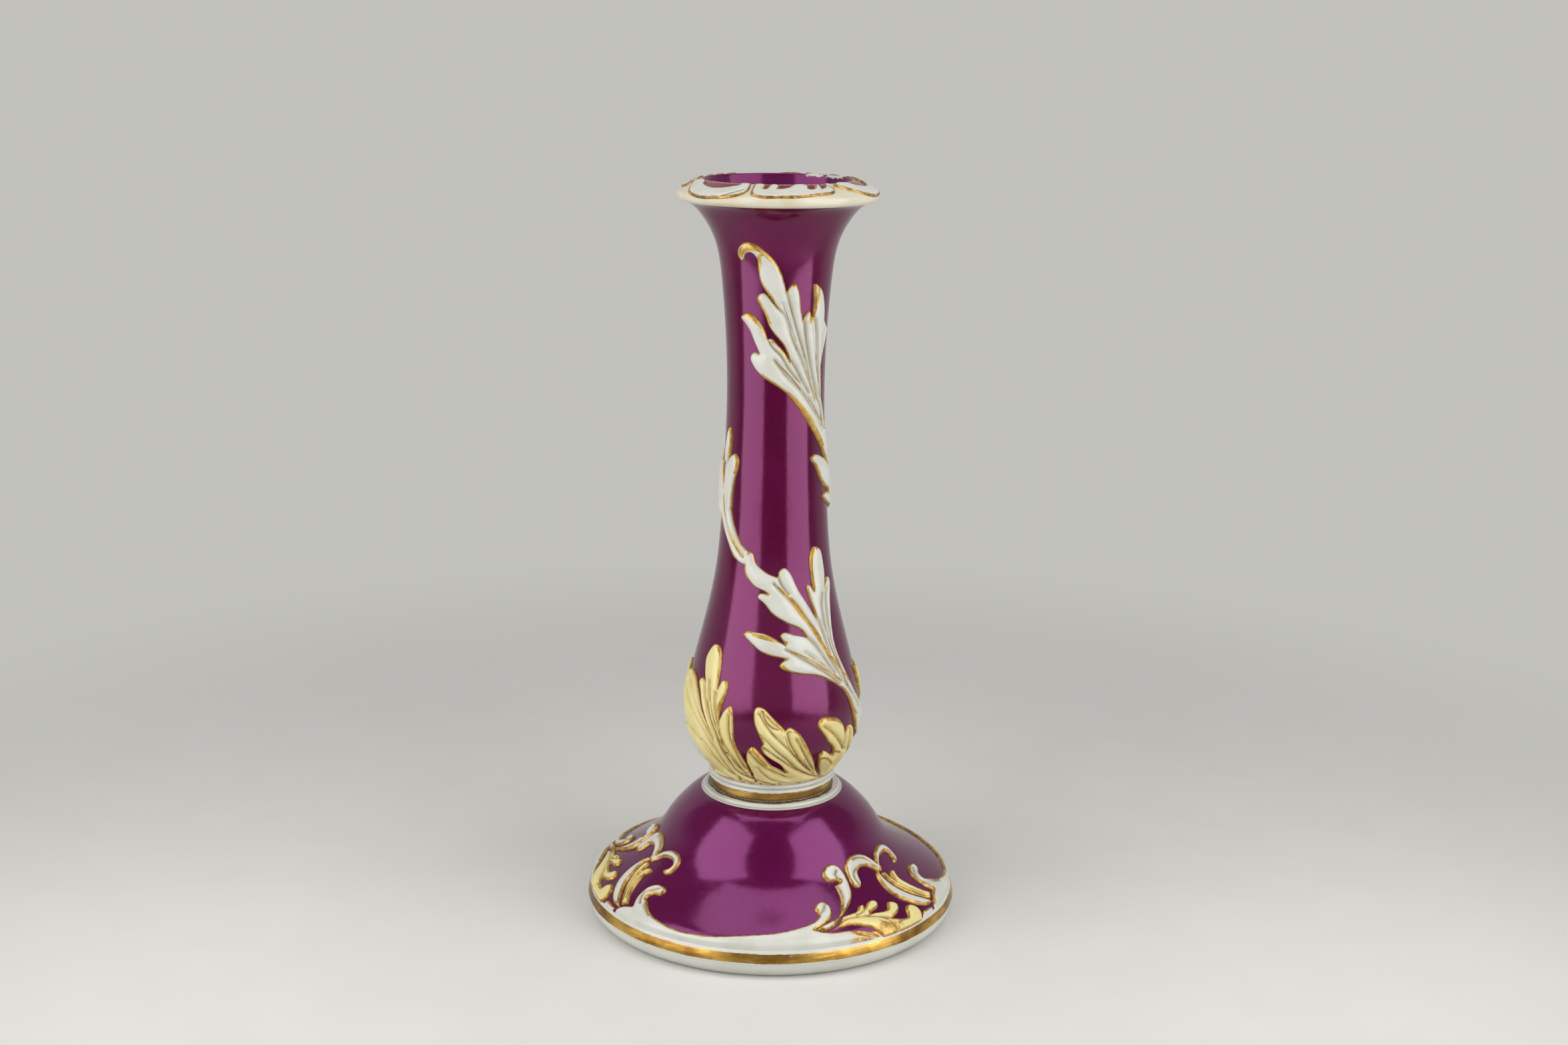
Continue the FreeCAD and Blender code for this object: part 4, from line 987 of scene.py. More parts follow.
lowerLeaf = {
    "outline": [
        [(68.6, 66.5), (64.3, 71.6), (58.6, 76.5), (50.7, 80), (41.4, 82.6), (31.4, 84.6), (18.6, 85.7),
         (10, 86.8), (5.1, 88.5), (7.1, 89.6), (11.1, 90.3)],
        [(2.9, 91), (-7.1, 92.1), (-15.7, 94.3), (-21.7, 96.1), (-24.6, 97.2), (-22.1, 98.4),
         (-17.1, 98.5), (-10, 98.2), (-1.4, 97.2), (4.6, 95.9), (10, 94.5)],
        [(7.1, 96.2), (5.9, 97.4), (8, 98.3), (15.7, 97.8), (22.9, 97.1), (28, 96.3)],
        [(22.9, 99), (15.7, 100.4), (7.1, 102.1), (-1.4, 104.2), (-10, 107.5), (-14.6, 109.2),
         (-12.6, 110.1), (-8.3, 110.2), (-4.3, 109.9)],
        [(-9.3, 110.9), (-16.4, 111.8), (-22.9, 113.4), (-28.3, 115.3), (-30, 117.9), (-29.3, 121.2),
         (-25.7, 122.9), (-21.4, 122), (-19.3, 120.1), (-12.9, 117.9), (-4.3, 116.2), (4.4, 115.2)],
        [(5.7, 117.3), (10, 118.1), (15.7, 116.8), (20, 114), (24.3, 110.8), (30, 107.5), (35.7, 103.7),
         (39.1, 101.4)],
        [(35.7, 106.4), (32.9, 109.9), (32.3, 111.6), (34, 112.5), (36.6, 111.8), (39.7, 110.1)],
        [(39, 112.9), (38.4, 116.4), (39.3, 121.2), (45, 123.7), (51.4, 123.1), (56, 119),
         (56.9, 115.1), (54, 110.5)],
        [(57.9, 112.4), (62.6, 113.3), (64.3, 111.8), (62.1, 108.6), (58.6, 104.2), (55.7, 98.8),
         (55, 93.4), (57.1, 89.1), (61.4, 83.8), (67.1, 78.4), (74.3, 73.4), (80, 70.7), (90, 65.5),
         (100, 60.5), (110, 56), (116, 52)],
        [(106, 52), (96, 54.5), (86, 58), (80, 60.2), (74.3, 61.7)],
    ],
    "veins": [
        [(0.5, 113.2), (6, 111.2), (12, 109.1), (18.8, 106.6), (25.2, 103.4), (31, 100.3), (36.2, 96.7),
         (41.8, 92.5), (47.2, 88.2), (52.8, 84.1), (57.2, 80.7), (64.2, 76.6), (70.5, 72.7),
         (75.5, 69.2)],
        [(49.2, 108.5), (46.5, 105.8), (45.8, 102.8), (46.8, 99.1), (48.8, 94.8), (51.8, 90.4),
         (54.8, 86.5), (58, 82.7), (62.8, 78.4), (68.8, 73.8)],
        [(56.5, 110.1), (53, 107.5), (51.5, 103.9), (50.8, 99.3), (51.8, 94.5), (54.2, 90.2),
         (57.2, 85.7), (60.5, 81.6)],
        [(10, 93.2), (14.5, 92.1), (20, 90.7), (25.8, 89.2), (32.2, 87.3), (39.5, 85.1), (46.2, 82.7),
         (53, 80.1)],
        [(28.8, 96.1), (33.5, 94.1), (38.5, 91), (44, 87.2), (49.5, 83.9)],
        [(40.2, 101.2), (42.8, 98.3), (44.8, 94.6), (47.8, 90.5)],
        [(4.8, 115), (7.5, 113), (13.8, 109.8)],
    ],
}
# brush strokes, each (half width in millimetres, points): gilt strokes are gold, brown strokes are painted
# shadow
upperBrush = {
    "gilt": [
        (1.09, [(-35.5, 214.1), (-32.8, 215.8), (-28.8, 216.8), (-24.2, 217.3), (-18, 217.2),
                (-12.8, 216.3)]),
        (0.88, [(-13.5, 216.5), (-8.2, 215), (-4.2, 213.8), (-0.2, 212.3)]),
        (0.63, [(-1.5, 212.8), (3, 210.5), (6, 208.3)]),
        (0.35, [(5.5, 208.6), (7.8, 206)]),
        (0.57, [(-11, 215.4), (-15.5, 214.7), (-15.2, 212.7), (-16.5, 210.9), (-17, 209.1)]),
        (0.46, [(-17, 209.6), (-16.2, 207.6), (-13.8, 205.9), (-9.5, 204.1), (-1.8, 200.9)]),
        (0.49, [(-18.5, 202.7), (-16.8, 200.7), (-14.2, 199), (-10.2, 196.8), (-6, 194.2)]),
        (0.71, [(-38.5, 196), (-34, 196.6), (-28.8, 196.1), (-23.8, 195.2), (-19.5, 194)]),
        (0.32, [(-20, 194.2), (-13.5, 191.9), (-10.2, 189.6)]),
        (0.32, [(-36.5, 195), (-32.2, 192.8), (-28.2, 190.3), (-23.2, 187.4)]),
        (0.57, [(15.2, 206), (19.2, 205.6), (22, 204.6)]),
        (0.49, [(22, 204.9), (24.2, 202.6), (25.5, 200.2), (26.2, 197.4)]),
        (0.52, [(43.2, 204.8), (47.2, 205), (54, 203.6), (59.5, 201.5)]),
        (0.52, [(45.5, 204.7), (46, 203.2), (45.5, 201.1), (44.5, 197.6)]),
        (0.57, [(37.5, 197.6), (37.8, 195.7), (37, 193.9)]),
        (0.49, [(-3.8, 188.5), (2.2, 187.4), (8, 185.5), (14.2, 182.9)]),
        (0.46, [(-14.5, 178.3), (-6.8, 176.6), (2, 175), (10.5, 173.3)]),
        (0.81, [(4.8, 174.2), (14.5, 172.1), (24.8, 169.2), (33.8, 166.4), (42.5, 163.3),
                (49.2, 160.8)]),
        (0.46, [(46.5, 161.9), (54.5, 158.6), (64, 154.9)]),
        (0.38, [(47, 173.8), (52.5, 170), (58, 166.7), (63.5, 162.8), (73.5, 158.1)]),
        (0.46, [(116.5, 138.9), (120.8, 133.2), (126.8, 128.5), (137.2, 124.4), (149, 120.8)]),
        (0.46, [(128, 138.3), (131.2, 134.2), (138.5, 129.5), (148.2, 125), (153.8, 122.9)]),
        (0.35, [(112, 132.6), (121, 128.1), (131.2, 123.2), (143, 119.5), (151.5, 116.9)]),
        (0.49, [(112.2, 160.6), (119.5, 159.3), (122.8, 156.1), (120.5, 152.2)]),
        (0.46, [(124, 151.3), (131.2, 152.5), (135.2, 150.4), (132.2, 146.5)]),
    ],
    "brown": [
        (0.3, [(-0.8, 182.4), (10.2, 179.4), (20.2, 176.5), (29.8, 173)]),
        (0.25, [(50.2, 185.6), (50.5, 182.5), (54, 177.7), (59, 170.3)]),
        (0.25, [(39.2, 170.6), (46, 168.4), (54.8, 165.2), (68.2, 160.7)]),
        (0.2, [(6.5, 200.1), (12.8, 195.5), (17.8, 191.7), (22.2, 188.3)]),
    ],
}
lowerBrush = {
    "gilt": [
        (0.52, [(-29.8, 115.5), (-25.2, 113.4), (-18.5, 111.8), (-11.8, 110.8), (-7.5, 110.4)]),
        (0.74, [(-23.2, 122.9), (-28.8, 121.3), (-29, 119.4), (-28.5, 117.3)]),
        (0.63, [(-28.8, 118), (-27.2, 115.6), (-23.5, 113.7)]),
        (0.29, [(-20.5, 120.5), (-15, 118.8), (-9.2, 117.7), (-1.5, 115.9)]),
        (0.43, [(-14.2, 109), (-11.2, 106.9), (-6, 105.3), (0, 103.5), (10.5, 101.6)]),
        (0.4, [(5, 112.1), (10, 110.4), (15.2, 108.4)]),
        (0.74, [(13.2, 109.3), (19.2, 106.8), (24.8, 103.7), (30.5, 100.9)]),
        (0.57, [(28.5, 101.7), (34.2, 98.7), (39.5, 95.3)]),
        (0.43, [(36.8, 96.5), (41.8, 93.1), (47, 89.6), (54, 85.2)]),
        (0.46, [(50.8, 123.6), (42.2, 122.1), (39.5, 119.8), (38.8, 116.7), (40.8, 111)]),
        (0.38, [(52.2, 123.3), (55.2, 119.6), (58, 116.3), (55.8, 112.5)]),
        (0.46, [(34.8, 112.7), (35.2, 112)]),
        (0.29, [(32.5, 109.7), (35, 107.2), (37.8, 104.3), (39.5, 101.5)]),
        (0.26, [(17.5, 115.6), (26.8, 111.3), (34.5, 105.5), (38.2, 102.6)]),
        (0.74, [(-22.8, 96.5), (-21.8, 98.1), (-17.5, 98.3)]),
        (0.71, [(-15.5, 97.5), (-9.8, 97.1), (-0.8, 96.4), (10.2, 95.4)]),
        (0.43, [(-20.8, 95.8), (-17.5, 94.2), (-11, 92.8), (-4.8, 91.9), (2, 91.1), (9.5, 90.5)]),
        (0.63, [(7, 88.6), (10.8, 86.9), (15.5, 86), (22.2, 85.2), (29.8, 84.3)]),
        (0.4, [(28, 84.5), (36.8, 83), (45.8, 80.2), (52.8, 77.6), (60.5, 73.4), (69.2, 68.5)]),
        (0.35, [(13.2, 92.8), (21, 91.3), (28.8, 89.6), (36.5, 87.1), (44.8, 84.4), (53.5, 81)]),
        (0.32, [(56.8, 85.2), (62.5, 81), (71, 74.8)]),
        (0.67, [(-25.2, 122.9), (-29, 121.1), (-29.2, 118.4), (-26.2, 115.2), (-19.5, 112.5),
                (-11.8, 111.1)]),
    ],
    "brown": [
        (0.25, [(24.8, 91.8), (30.8, 90.1), (38.8, 87.6), (46.2, 84.9)]),
        (0.3, [(49.2, 94.9), (52.2, 89.8), (56.8, 85.2), (61.2, 79.8), (68.5, 74.5)]),
    ],
}
# grid: size of the mesh's cells; rise: height of the relief, of which the share shoulder stands up within
# shoulderWidth of the outline and the rest swells over crown; notch, notchWidth: the grooves of the veins;
# fadeBelow: height towards which the relief runs out, or 0
stemLook = {"grid": 0.3, "rise": 1.4, "shoulder": 0.4, "shoulderWidth": 0.8, "crown": 3.6, "notch": 0.62,
            "notchWidth": 0.55, "fadeBelow": 0}
for name, cad, leaf, brush in (("upperLeaf", "upper_leaf", upperLeaf, upperBrush),
                               ("lowerLeaf", "lower_leaf", lowerLeaf, lowerBrush)):
    moulded([name + "Front", name + "Back"], [cad + "_front", cad + "_back"], halfTurn, stemWall, leaf,
            stemLook, whiteLeaf, whiteSlot, brush)

calyxA = {
    "outline": [
        [(-30.8, 50.8), (-36, 55), (-42.5, 64.3), (-52, 71), (-60, 77), (-68, 80.5), (-78, 81.5),
         (-88, 80), (-97, 82.5), (-92, 76), (-84, 70.5), (-80, 67.5)],
        [(-76.5, 63.7), (-71, 60.1), (-65.5, 57), (-62, 53.6), (-61.2, 50.8), (-59.5, 48.3)],
        [(-27.6, 48.3)],
    ],
    "veins": [
        [(-74.2, 78.7), (-66, 76.1), (-58.5, 72.2), (-51, 68.4), (-44.2, 64.3), (-38.8, 60.3),
         (-33.8, 55.7), (-30, 52)],
        [(-79.5, 74.6), (-68.2, 71.9), (-58.8, 68.9), (-49.8, 65.3), (-42.8, 61), (-36.2, 56.8),
         (-32.2, 53.5)],
        [(-86.8, 64.7), (-68, 63.6), (-58.2, 61.7), (-51.2, 58.9), (-45.5, 55.9), (-40.2, 52.9)],
    ],
}
calyxB = {
    "outline": [
        [(-15.9, 51), (-17, 54), (-20, 58), (-24.5, 63), (-25.3, 68), (-26, 71.5), (-28.6, 75.2),
         (-32, 73.8), (-35, 71), (-36.5, 69)],
        [(-35, 74), (-32.6, 78), (-31.8, 81.2), (-33.8, 82.8), (-36.2, 82.5), (-37.9, 81.4),
         (-39.2, 79.4)],
        [(-39.7, 82), (-40.2, 85.5), (-41.2, 88.9), (-44, 91.7), (-49, 92.6), (-54, 90.5),
         (-56.6, 87.3), (-55.6, 85), (-53.9, 82.6), (-51.5, 80.2)],
        [(-54.2, 80.9), (-57, 81.3), (-58.9, 80.3), (-57, 78), (-53, 74), (-47, 68.5), (-42.4, 63.5),
         (-38, 58), (-34, 53.5), (-30.3, 50.4), (-27, 48.3)],
        [(-13.2, 48.3)],
    ],
    "veins": [
        [(-47.8, 81.3), (-45.8, 77.6), (-43.5, 73.6), (-40.2, 69.7), (-35.8, 65.3), (-30.8, 61.2),
         (-26.2, 57.2), (-22, 52.7)],
        [(-52.2, 80.4), (-50, 77.1), (-46.5, 73.3), (-42.8, 69.4), (-38.8, 65.6), (-34.8, 60.8),
         (-31.2, 55.3)],
        [(-37.2, 69.1), (-35.2, 65.9), (-31.8, 62), (-27.2, 57.8), (-23.5, 53.6), (-19.2, 51.3)],
        [(-40.2, 78.2), (-39.5, 74), (-38, 70.5), (-35.5, 67)],
        [(-28.5, 72.2), (-28.2, 67.7), (-26.5, 63.1), (-23.2, 58.8), (-19.8, 54.3)],
    ],
}
calyxC = {
    "outline": [
        [(43.4, 50.3), (38, 52.5), (32, 56.5), (26, 61), (20, 66), (15, 68.6), (11, 69.4), (9, 68.4)],
        [(4, 71), (-2, 74), (-6, 75.6), (-10, 75.8), (-12, 73.5), (-11, 70), (-8, 66.5), (-5.5, 64)],
        [(-7, 62.5), (-5, 60.6), (0, 58.6), (5, 57), (9, 54.6), (11, 53)],
        [(5, 54.5), (0, 56), (-4, 58.5), (-8, 61), (-13, 62.7), (-16.5, 61), (-17.5, 57), (-15.8, 54),
         (-14.8, 50.9), (-12.4, 48.3)],
        [(47.4, 48.3)],
    ],
    "veins": [
        [(-8, 73.6), (-3.5, 70), (1.8, 66.8), (8.2, 63.5), (15.5, 59.6), (25, 54.9), (37.5, 50.9)],
        [(-5, 62.8), (1, 60.5), (7.8, 57.9), (17.2, 54.6), (29.5, 51.5)],
        [(10, 67.8), (11.2, 65.1), (15, 61.5), (21, 57.3), (31.2, 52.8)],
        [(15.8, 65.5), (20.8, 61.2), (28.2, 56), (36.2, 52.3)],
        [(-14.5, 61), (-10.2, 58.2), (-3.8, 55.1), (6.5, 52.3), (15, 51)],
    ],
}
calyxD = {
    "outline": [
        [(45.2, 50.4), (40, 53), (36.2, 56), (35.2, 58.6), (38, 59.6), (43, 58.6), (48, 57.2)],
        [(45, 60.4), (40, 62.6), (35, 65.8), (31, 69.4), (33, 71), (40, 71), (47, 70), (52, 67.6),
         (55.5, 63.6)],
        [(58.5, 65.4), (62, 65.9), (65.5, 64.6), (69, 62), (72.5, 59.2), (76, 56.8), (79.5, 54.3),
         (81.6, 52.2), (83.2, 48.3)],
        [(48.4, 48.3)],
    ],
    "veins": [
        [(54.8, 65.1), (55.8, 62.1), (57.5, 58.2), (57.2, 55.1), (56, 52.3)],
        [(60, 65.5), (62.2, 62.3), (66, 58.1), (73.8, 52.9), (65.8, 50.6)],
        [(35, 68.5), (41.8, 65.9), (50, 62), (59.5, 57.9)],
    ],
}
calyxBrush = {
    "gilt": [
        (0.57, [(-46.5, 92.9), (-41.8, 90), (-39, 87.9), (-39.8, 85.4), (-39.8, 83.1)]),
        (0.52, [(-35.5, 82.9), (-32.8, 82.3), (-31.5, 80.7), (-32.8, 77.8), (-36, 74.7), (-37, 72.5)]),
        (0.4, [(-29, 74.5), (-26, 72.5), (-25, 69), (-25, 65.4), (-24.8, 61.6), (-22.5, 58.2),
               (-18, 54.4)]),
        (0.38, [(-55.8, 82.1), (-58, 79.3), (-56.2, 77), (-51.8, 73.3), (-46, 69)]),
        (0.35, [(-35, 69.5), (-35, 66), (-33.2, 61.6), (-30.2, 58.6)]),
        (0.38, [(-11.2, 74), (-11, 71.5), (-9.8, 69.1), (-7.2, 66.6), (-4.8, 64.6)]),
        (0.4, [(-6.5, 74.8), (-1.5, 72.5), (3.5, 70.4), (7.8, 68.2)]),
        (0.38, [(10, 68.5), (15, 67.9), (19.2, 65.3), (23.8, 61.6), (36.2, 53.8)]),
        (0.46, [(-5.8, 63.1), (-4.8, 61.1), (-1.2, 59.2), (4, 57.2), (12, 54)]),
        (0.57, [(-17, 58.4), (-15.2, 61.5), (-12.8, 62), (-8.5, 60.1), (-3.5, 56.7)]),
        (0.52, [(29, 69.4), (32.5, 70.5), (38.2, 70.5), (45.8, 69.5), (53.2, 66.4)]),
        (0.54, [(31.8, 68.1), (33.5, 65.4), (37.5, 62.7), (46.5, 59.8)]),
        (0.43, [(44, 58), (46.2, 58.7), (55.5, 57.4)]),
        (0.43, [(35.5, 56.2), (37, 57.7), (41.5, 57.2), (50.5, 54.1)]),
    ],
    "brown": [
        (0.3, [(-88.2, 66.2), (-69.8, 65.6), (-61, 63.2), (-57.2, 61.7)]),
        (0.28, [(-78.2, 58.5), (-74.8, 53.9), (-69.5, 51), (-52.8, 50.4), (-35.8, 48.5)]),
        (0.4, [(-51.5, 61.6), (-46, 58.7), (-42.2, 55.4), (-36.8, 52), (-29.8, 50.4), (-20.2, 48.6)]),
        (0.38, [(-59.5, 77.3), (-54.2, 73), (-49.2, 69.3), (-41.5, 63.7)]),
        (0.4, [(-38.5, 65.6), (-36.2, 61.2), (-31.8, 56.6), (-26.8, 52.5), (-17.5, 50.4),
               (-2.5, 48.6)]),
        (0.25, [(-30.2, 59.4), (-27, 55.8), (-21.5, 53), (-15, 52.4)]),
        (0.25, [(-10, 55.6), (-4, 51.9), (2.2, 50), (12, 48.7)]),
        (0.38, [(-5.8, 74.1), (-3.5, 71.4), (0, 69.7), (4.2, 69)]),
        (0.35, [(-6.8, 66.8), (-2, 64.7), (3.8, 61.6), (10, 58.9), (17.2, 55.4), (29.2, 51.7),
                (49, 48.4)]),
        (0.28, [(8.8, 66.1), (12.5, 61.8), (18.5, 58.1), (25.5, 54.9), (34.2, 51.9)]),
        (0.25, [(-0.5, 55.1), (5.5, 52.9), (13.2, 50.8)]),
        (0.28, [(22.8, 57.8), (27.5, 54.7), (34.2, 51.9)]),
        (0.28, [(-46.5, 74.7), (-43.8, 70), (-39.5, 66.2), (-36.2, 62.8)]),
    ],
}
calyxLeaves = (calyxA, calyxB, calyxC, calyxD)
for index, leaf in enumerate(calyxLeaves, 1):
    pair = (index, index + len(calyxLeaves))
    moulded(["calyxLeaf%d" % copy for copy in pair], ["calyx_leaf_%d" % copy for copy in pair], halfTurn,
            stemWall, leaf, stemLook, buffLeaf, buffSlot, calyxBrush)

borderScroll = {
    "outline": [
        [(-56.3, 9.9), (-53.9, 11.6), (-50.5, 12.4)],
        [(-52, 13.8), (-52.5, 15.1), (-52.3, 16.1), (-51, 17.1), (-48.6, 17.8), (-46.1, 17.9),
         (-43.9, 17.6), (-43.5, 16.9), (-44.9, 16.1), (-47, 15.9), (-48.3, 15.4), (-48.3, 14.7),
         (-47, 14.4)],
        [(-45.3, 13.7), (-43, 12.9), (-39.7, 12.2), (-35.5, 11.7), (-30.6, 11.3), (-25.1, 11.3),
         (-19.3, 11.4), (-9.3, 12.2), (0, 12.8), (5, 13.2), (10, 13.8), (14.6, 14.5), (17.1, 15.4),
         (17.7, 16.1)],
        [(16.8, 16.6), (16.8, 17.3), (18, 17.9), (20, 18.2), (21.8, 17.8), (23, 16.9), (22.8, 15.9),
         (21.8, 15), (19.8, 14.2), (17.1, 13.5), (14.8, 13.1)],
        [(19.2, 12.3), (25, 12.1), (30, 11.5), (34.2, 10.1), (36, 8.5)],
        [(10, 8.5), (-20, 8.5), (-56.6, 8.5)],
    ],
    "veins": [
        [(28.2, 11.4), (30.2, 10.6), (33, 9.7), (35.2, 8.5)],
        [(17.8, 16), (19.5, 16.4), (21, 17.5)],
        [(-48.8, 13.5), (-50.5, 14.4), (-51, 15.5), (-49, 16.5), (-46.5, 17.4)],
        [(-47.5, 14.4), (-47.2, 13.8), (-45.2, 13), (-42.2, 12.1)],
    ],
}
ballScroll = {
    "outline": [
        [(20, 14.2), (24.2, 14.9), (26.7, 16.4), (28.3, 18.1), (28.8, 19.7), (28.6, 20.9)],
        [(30.4, 21.1), (31.5, 21.5), (29.3, 21.7), (26.2, 22), (24.7, 23.6), (26, 25), (28.8, 25.8),
         (32.1, 25.7), (34.8, 24.2), (35.6, 22.2), (35, 19.9), (33.2, 17.9), (30.2, 16.5), (27.3, 15.4),
         (25.2, 14.8)],
        [(21.8, 13.4), (18.3, 12.6), (15.2, 13.1)],
    ],
    "veins": [
        [(31.5, 21.4), (31, 22.2), (30.8, 23.1), (32, 23.9)],
        [(29.2, 20.7), (30, 19.6), (29.5, 18.3), (28, 16.9), (25.5, 15.5)],
    ],
}
featherLeaf = {
    "outline": [
        [(28.8, 15), (32.1, 15.3), (34.3, 16.1), (35.8, 15.9), (35.5, 15.4)],
        [(37.3, 16), (39.2, 16.4), (41, 16.2), (41.6, 15.6), (40.8, 14.9), (38.8, 14.5), (36.3, 14.3)],
        [(38.8, 14), (41.5, 13.8), (43.7, 14), (44.5, 14.5), (45.7, 15), (47.8, 14.7), (48.7, 14),
         (47.8, 13.1), (45.4, 12.4), (42.9, 12.1)],
        [(46.2, 11.3), (49.3, 11.3), (50.2, 12.5), (52.1, 13.1), (54.3, 12.6), (55.5, 11.1),
         (54.8, 9.3), (53.8, 8.4)],
        [(45, 8.4), (36.7, 8.4)],
        [(35.8, 9.9), (33.8, 11.4), (30.4, 12.5), (26.7, 13), (23.3, 12.9), (20.5, 12.7)],
        [(22.9, 13.3), (25.7, 14.8)],
    ],
    "veins": [
        [(19.2, 12.5), (22.8, 13.5), (26, 14.1), (31.2, 14.1), (35.8, 13.6), (39.2, 12.9), (41.5, 11.8),
         (43, 10.2), (43, 8.7)],
        [(37.2, 14), (34.8, 14), (31.2, 14.2)],
        [(43, 12), (40.2, 12.8), (37.5, 13.3)],
        [(35.8, 15.4), (33.8, 14.8), (31, 14.5)],
        [(49.2, 11.2), (47, 11), (44.2, 10.7)],
    ],
}
borderEnd = {
    "outline": [
        [(56.7, 10.2), (59.5, 10.3), (62.3, 9.9)],
        [(61.8, 8.5)],
        [(58.3, 8.5), (55.3, 8.5)],
    ],
    "veins": [],
}
crestScroll = {
    "outline": [
        [(60.7, 10.8), (56.7, 12.1), (53.2, 13.8), (50.8, 15.6), (49.9, 17.5), (50.3, 19.1),
         (51.6, 20.4), (53.4, 21.1)],
        [(51.7, 22), (49.2, 22.9), (46.2, 23.1), (44, 22.7), (42.3, 21.7), (41.7, 20.6), (40.3, 19.5),
         (38.2, 19.4), (36.5, 20.2), (36.5, 22), (37.5, 24.1), (40.2, 25.8), (44.2, 26.5), (48.5, 26.4),
         (52.5, 25.3), (55.2, 23.7), (56.3, 22.4)],
        [(57.8, 23.5), (61, 24.8), (65.8, 25.4), (70.2, 25), (72.7, 23.7), (72.9, 21.9), (71.4, 20.4),
         (69.2, 20), (67.3, 20.4), (69, 21.2), (69.8, 22.3), (68.3, 23.1), (65, 23.3), (61, 22.8),
         (58.3, 21.7), (56.3, 20.4)],
        [(54.2, 20.6), (53.3, 19.4), (53.8, 17.8), (55.2, 16.1), (58.3, 14), (61.7, 12.3),
         (64.3, 10.8)],
    ],
    "veins": [
        [(47, 23.3), (43, 23.1), (40.2, 22.2), (39.5, 21), (39.8, 20)],
        [(68.8, 23.3), (65, 23.5), (60.5, 22.8), (57.2, 21.5)],
        [(43.5, 25.5), (49, 25.2), (52.8, 23.7), (54.5, 21.8)],
    ],
}
budLeaf = {
    "outline": [
        [(61.2, 13.1), (57.5, 15.1), (54.8, 17.3), (54.1, 19.4), (55, 20.2), (56.4, 20), (57.2, 18.7),
         (57.7, 17.5)],
        [(58.3, 18.9), (60.2, 19.6), (61.8, 19.4), (60.8, 18.1), (61.2, 16.5), (63.2, 14.6),
         (66.7, 12.4)],
        [(64.3, 11.4)],
    ],
    "veins": [
        [(57.8, 17.5), (59.2, 16.2), (61.2, 14.6), (63.8, 13.1)],
        [(56, 19.4), (56.2, 17.7), (58, 15.9), (60.5, 14.2), (63.5, 12.4)],
    ],
}
footLook = {"grid": 0.32, "rise": 1.06, "shoulder": 0.45, "shoulderWidth": 0.8, "crown": 2.8, "notch": 0.5,
            "notchWidth": 0.45, "fadeBelow": 0}
ballLook = dict(footLook, rise=1.3)
bandLook = dict(footLook, fadeBelow=8.6)
scrollBall = (26.3, 23.9, 2.2, 1.3)  # angle, height, radius and rise
footOrnament = (
    ("borderScroll", "foot_border_scroll", borderScroll, bandLook, whiteScroll, whiteSlot, ()),
    ("ballScroll", "foot_ball_scroll", ballScroll, ballLook, whiteScroll, whiteSlot, (scrollBall,)),
    ("featherLeaf", "foot_feather_leaf", featherLeaf, footLook, buffScroll, buffSlot, ()),
    ("borderEnd", "foot_border_end", borderEnd, bandLook, whiteScroll, whiteSlot, ()),
    ("crestScroll", "foot_crest_scroll", crestScroll, footLook, whiteScroll, whiteSlot, ()),
    ("budLeaf", "foot_bud_leaf", budLeaf, footLook, buffScroll, buffSlot, ()),
)
for name, cad, leaf, look, material, slotName, balls in footOrnament:
    moulded(*thirds(name, cad), thirdTurn, footWall, leaf, look, material, slotName, balls=balls)

cartouche = {
    "outline": [
        [(-76, 234.8), (-71, 234.1), (-65, 233.2), (-59.5, 232.4), (-54, 231.8), (-47.5, 231.5),
         (-40, 231.6), (-33, 231.9), (-27, 232.25), (-22, 232.9), (-18.8, 233.7), (-18, 234.7),
         (-18.8, 235.85)],
        [(-24, 235.9), (-28, 235.75)],
        [(-26.6, 235.45), (-28.6, 235.2), (-33.8, 234.8), (-39.8, 234.45), (-45.2, 234.4), (-52, 234.7),
         (-57.5, 235.1), (-61.5, 235.7)],
        [(-67, 235.9), (-74, 235.85), (-79, 235.4)],
    ],
    "veins": [],
}
leafScroll = {
    "outline": [
        [(-16.2, 234.2), (-15, 233.2), (-11.5, 232.65), (-5.8, 232.4), (1.2, 232.5), (8.5, 232.5),
         (16, 232.7), (24.2, 233.05), (33, 233.3), (37, 233.8), (39, 234.6), (39.8, 235.7)],
        [(37.5, 235.9), (34, 235.8)],
        [(31.8, 235), (29.4, 234.65)],
        [(29.8, 235.2), (28.6, 235.7), (26.4, 235.6), (25, 235)],
        [(22.6, 234.6), (20.2, 234.7)],
        [(21, 235.3), (19.2, 235.75), (15, 235.85), (10.8, 235.7), (8, 235.2)],
        [(4.2, 234.85), (0.5, 234.75)],
        [(1.4, 235.3), (0, 235.75), (-3.3, 235.8), (-5.5, 235.5), (-6.5, 235)],
        [(-7.6, 234.65), (-8.8, 234.75)],
        [(-8.2, 235.4), (-9.4, 235.8), (-12.6, 235.9), (-15.6, 235.8), (-16.4, 235.2)],
    ],
    "veins": [],
}
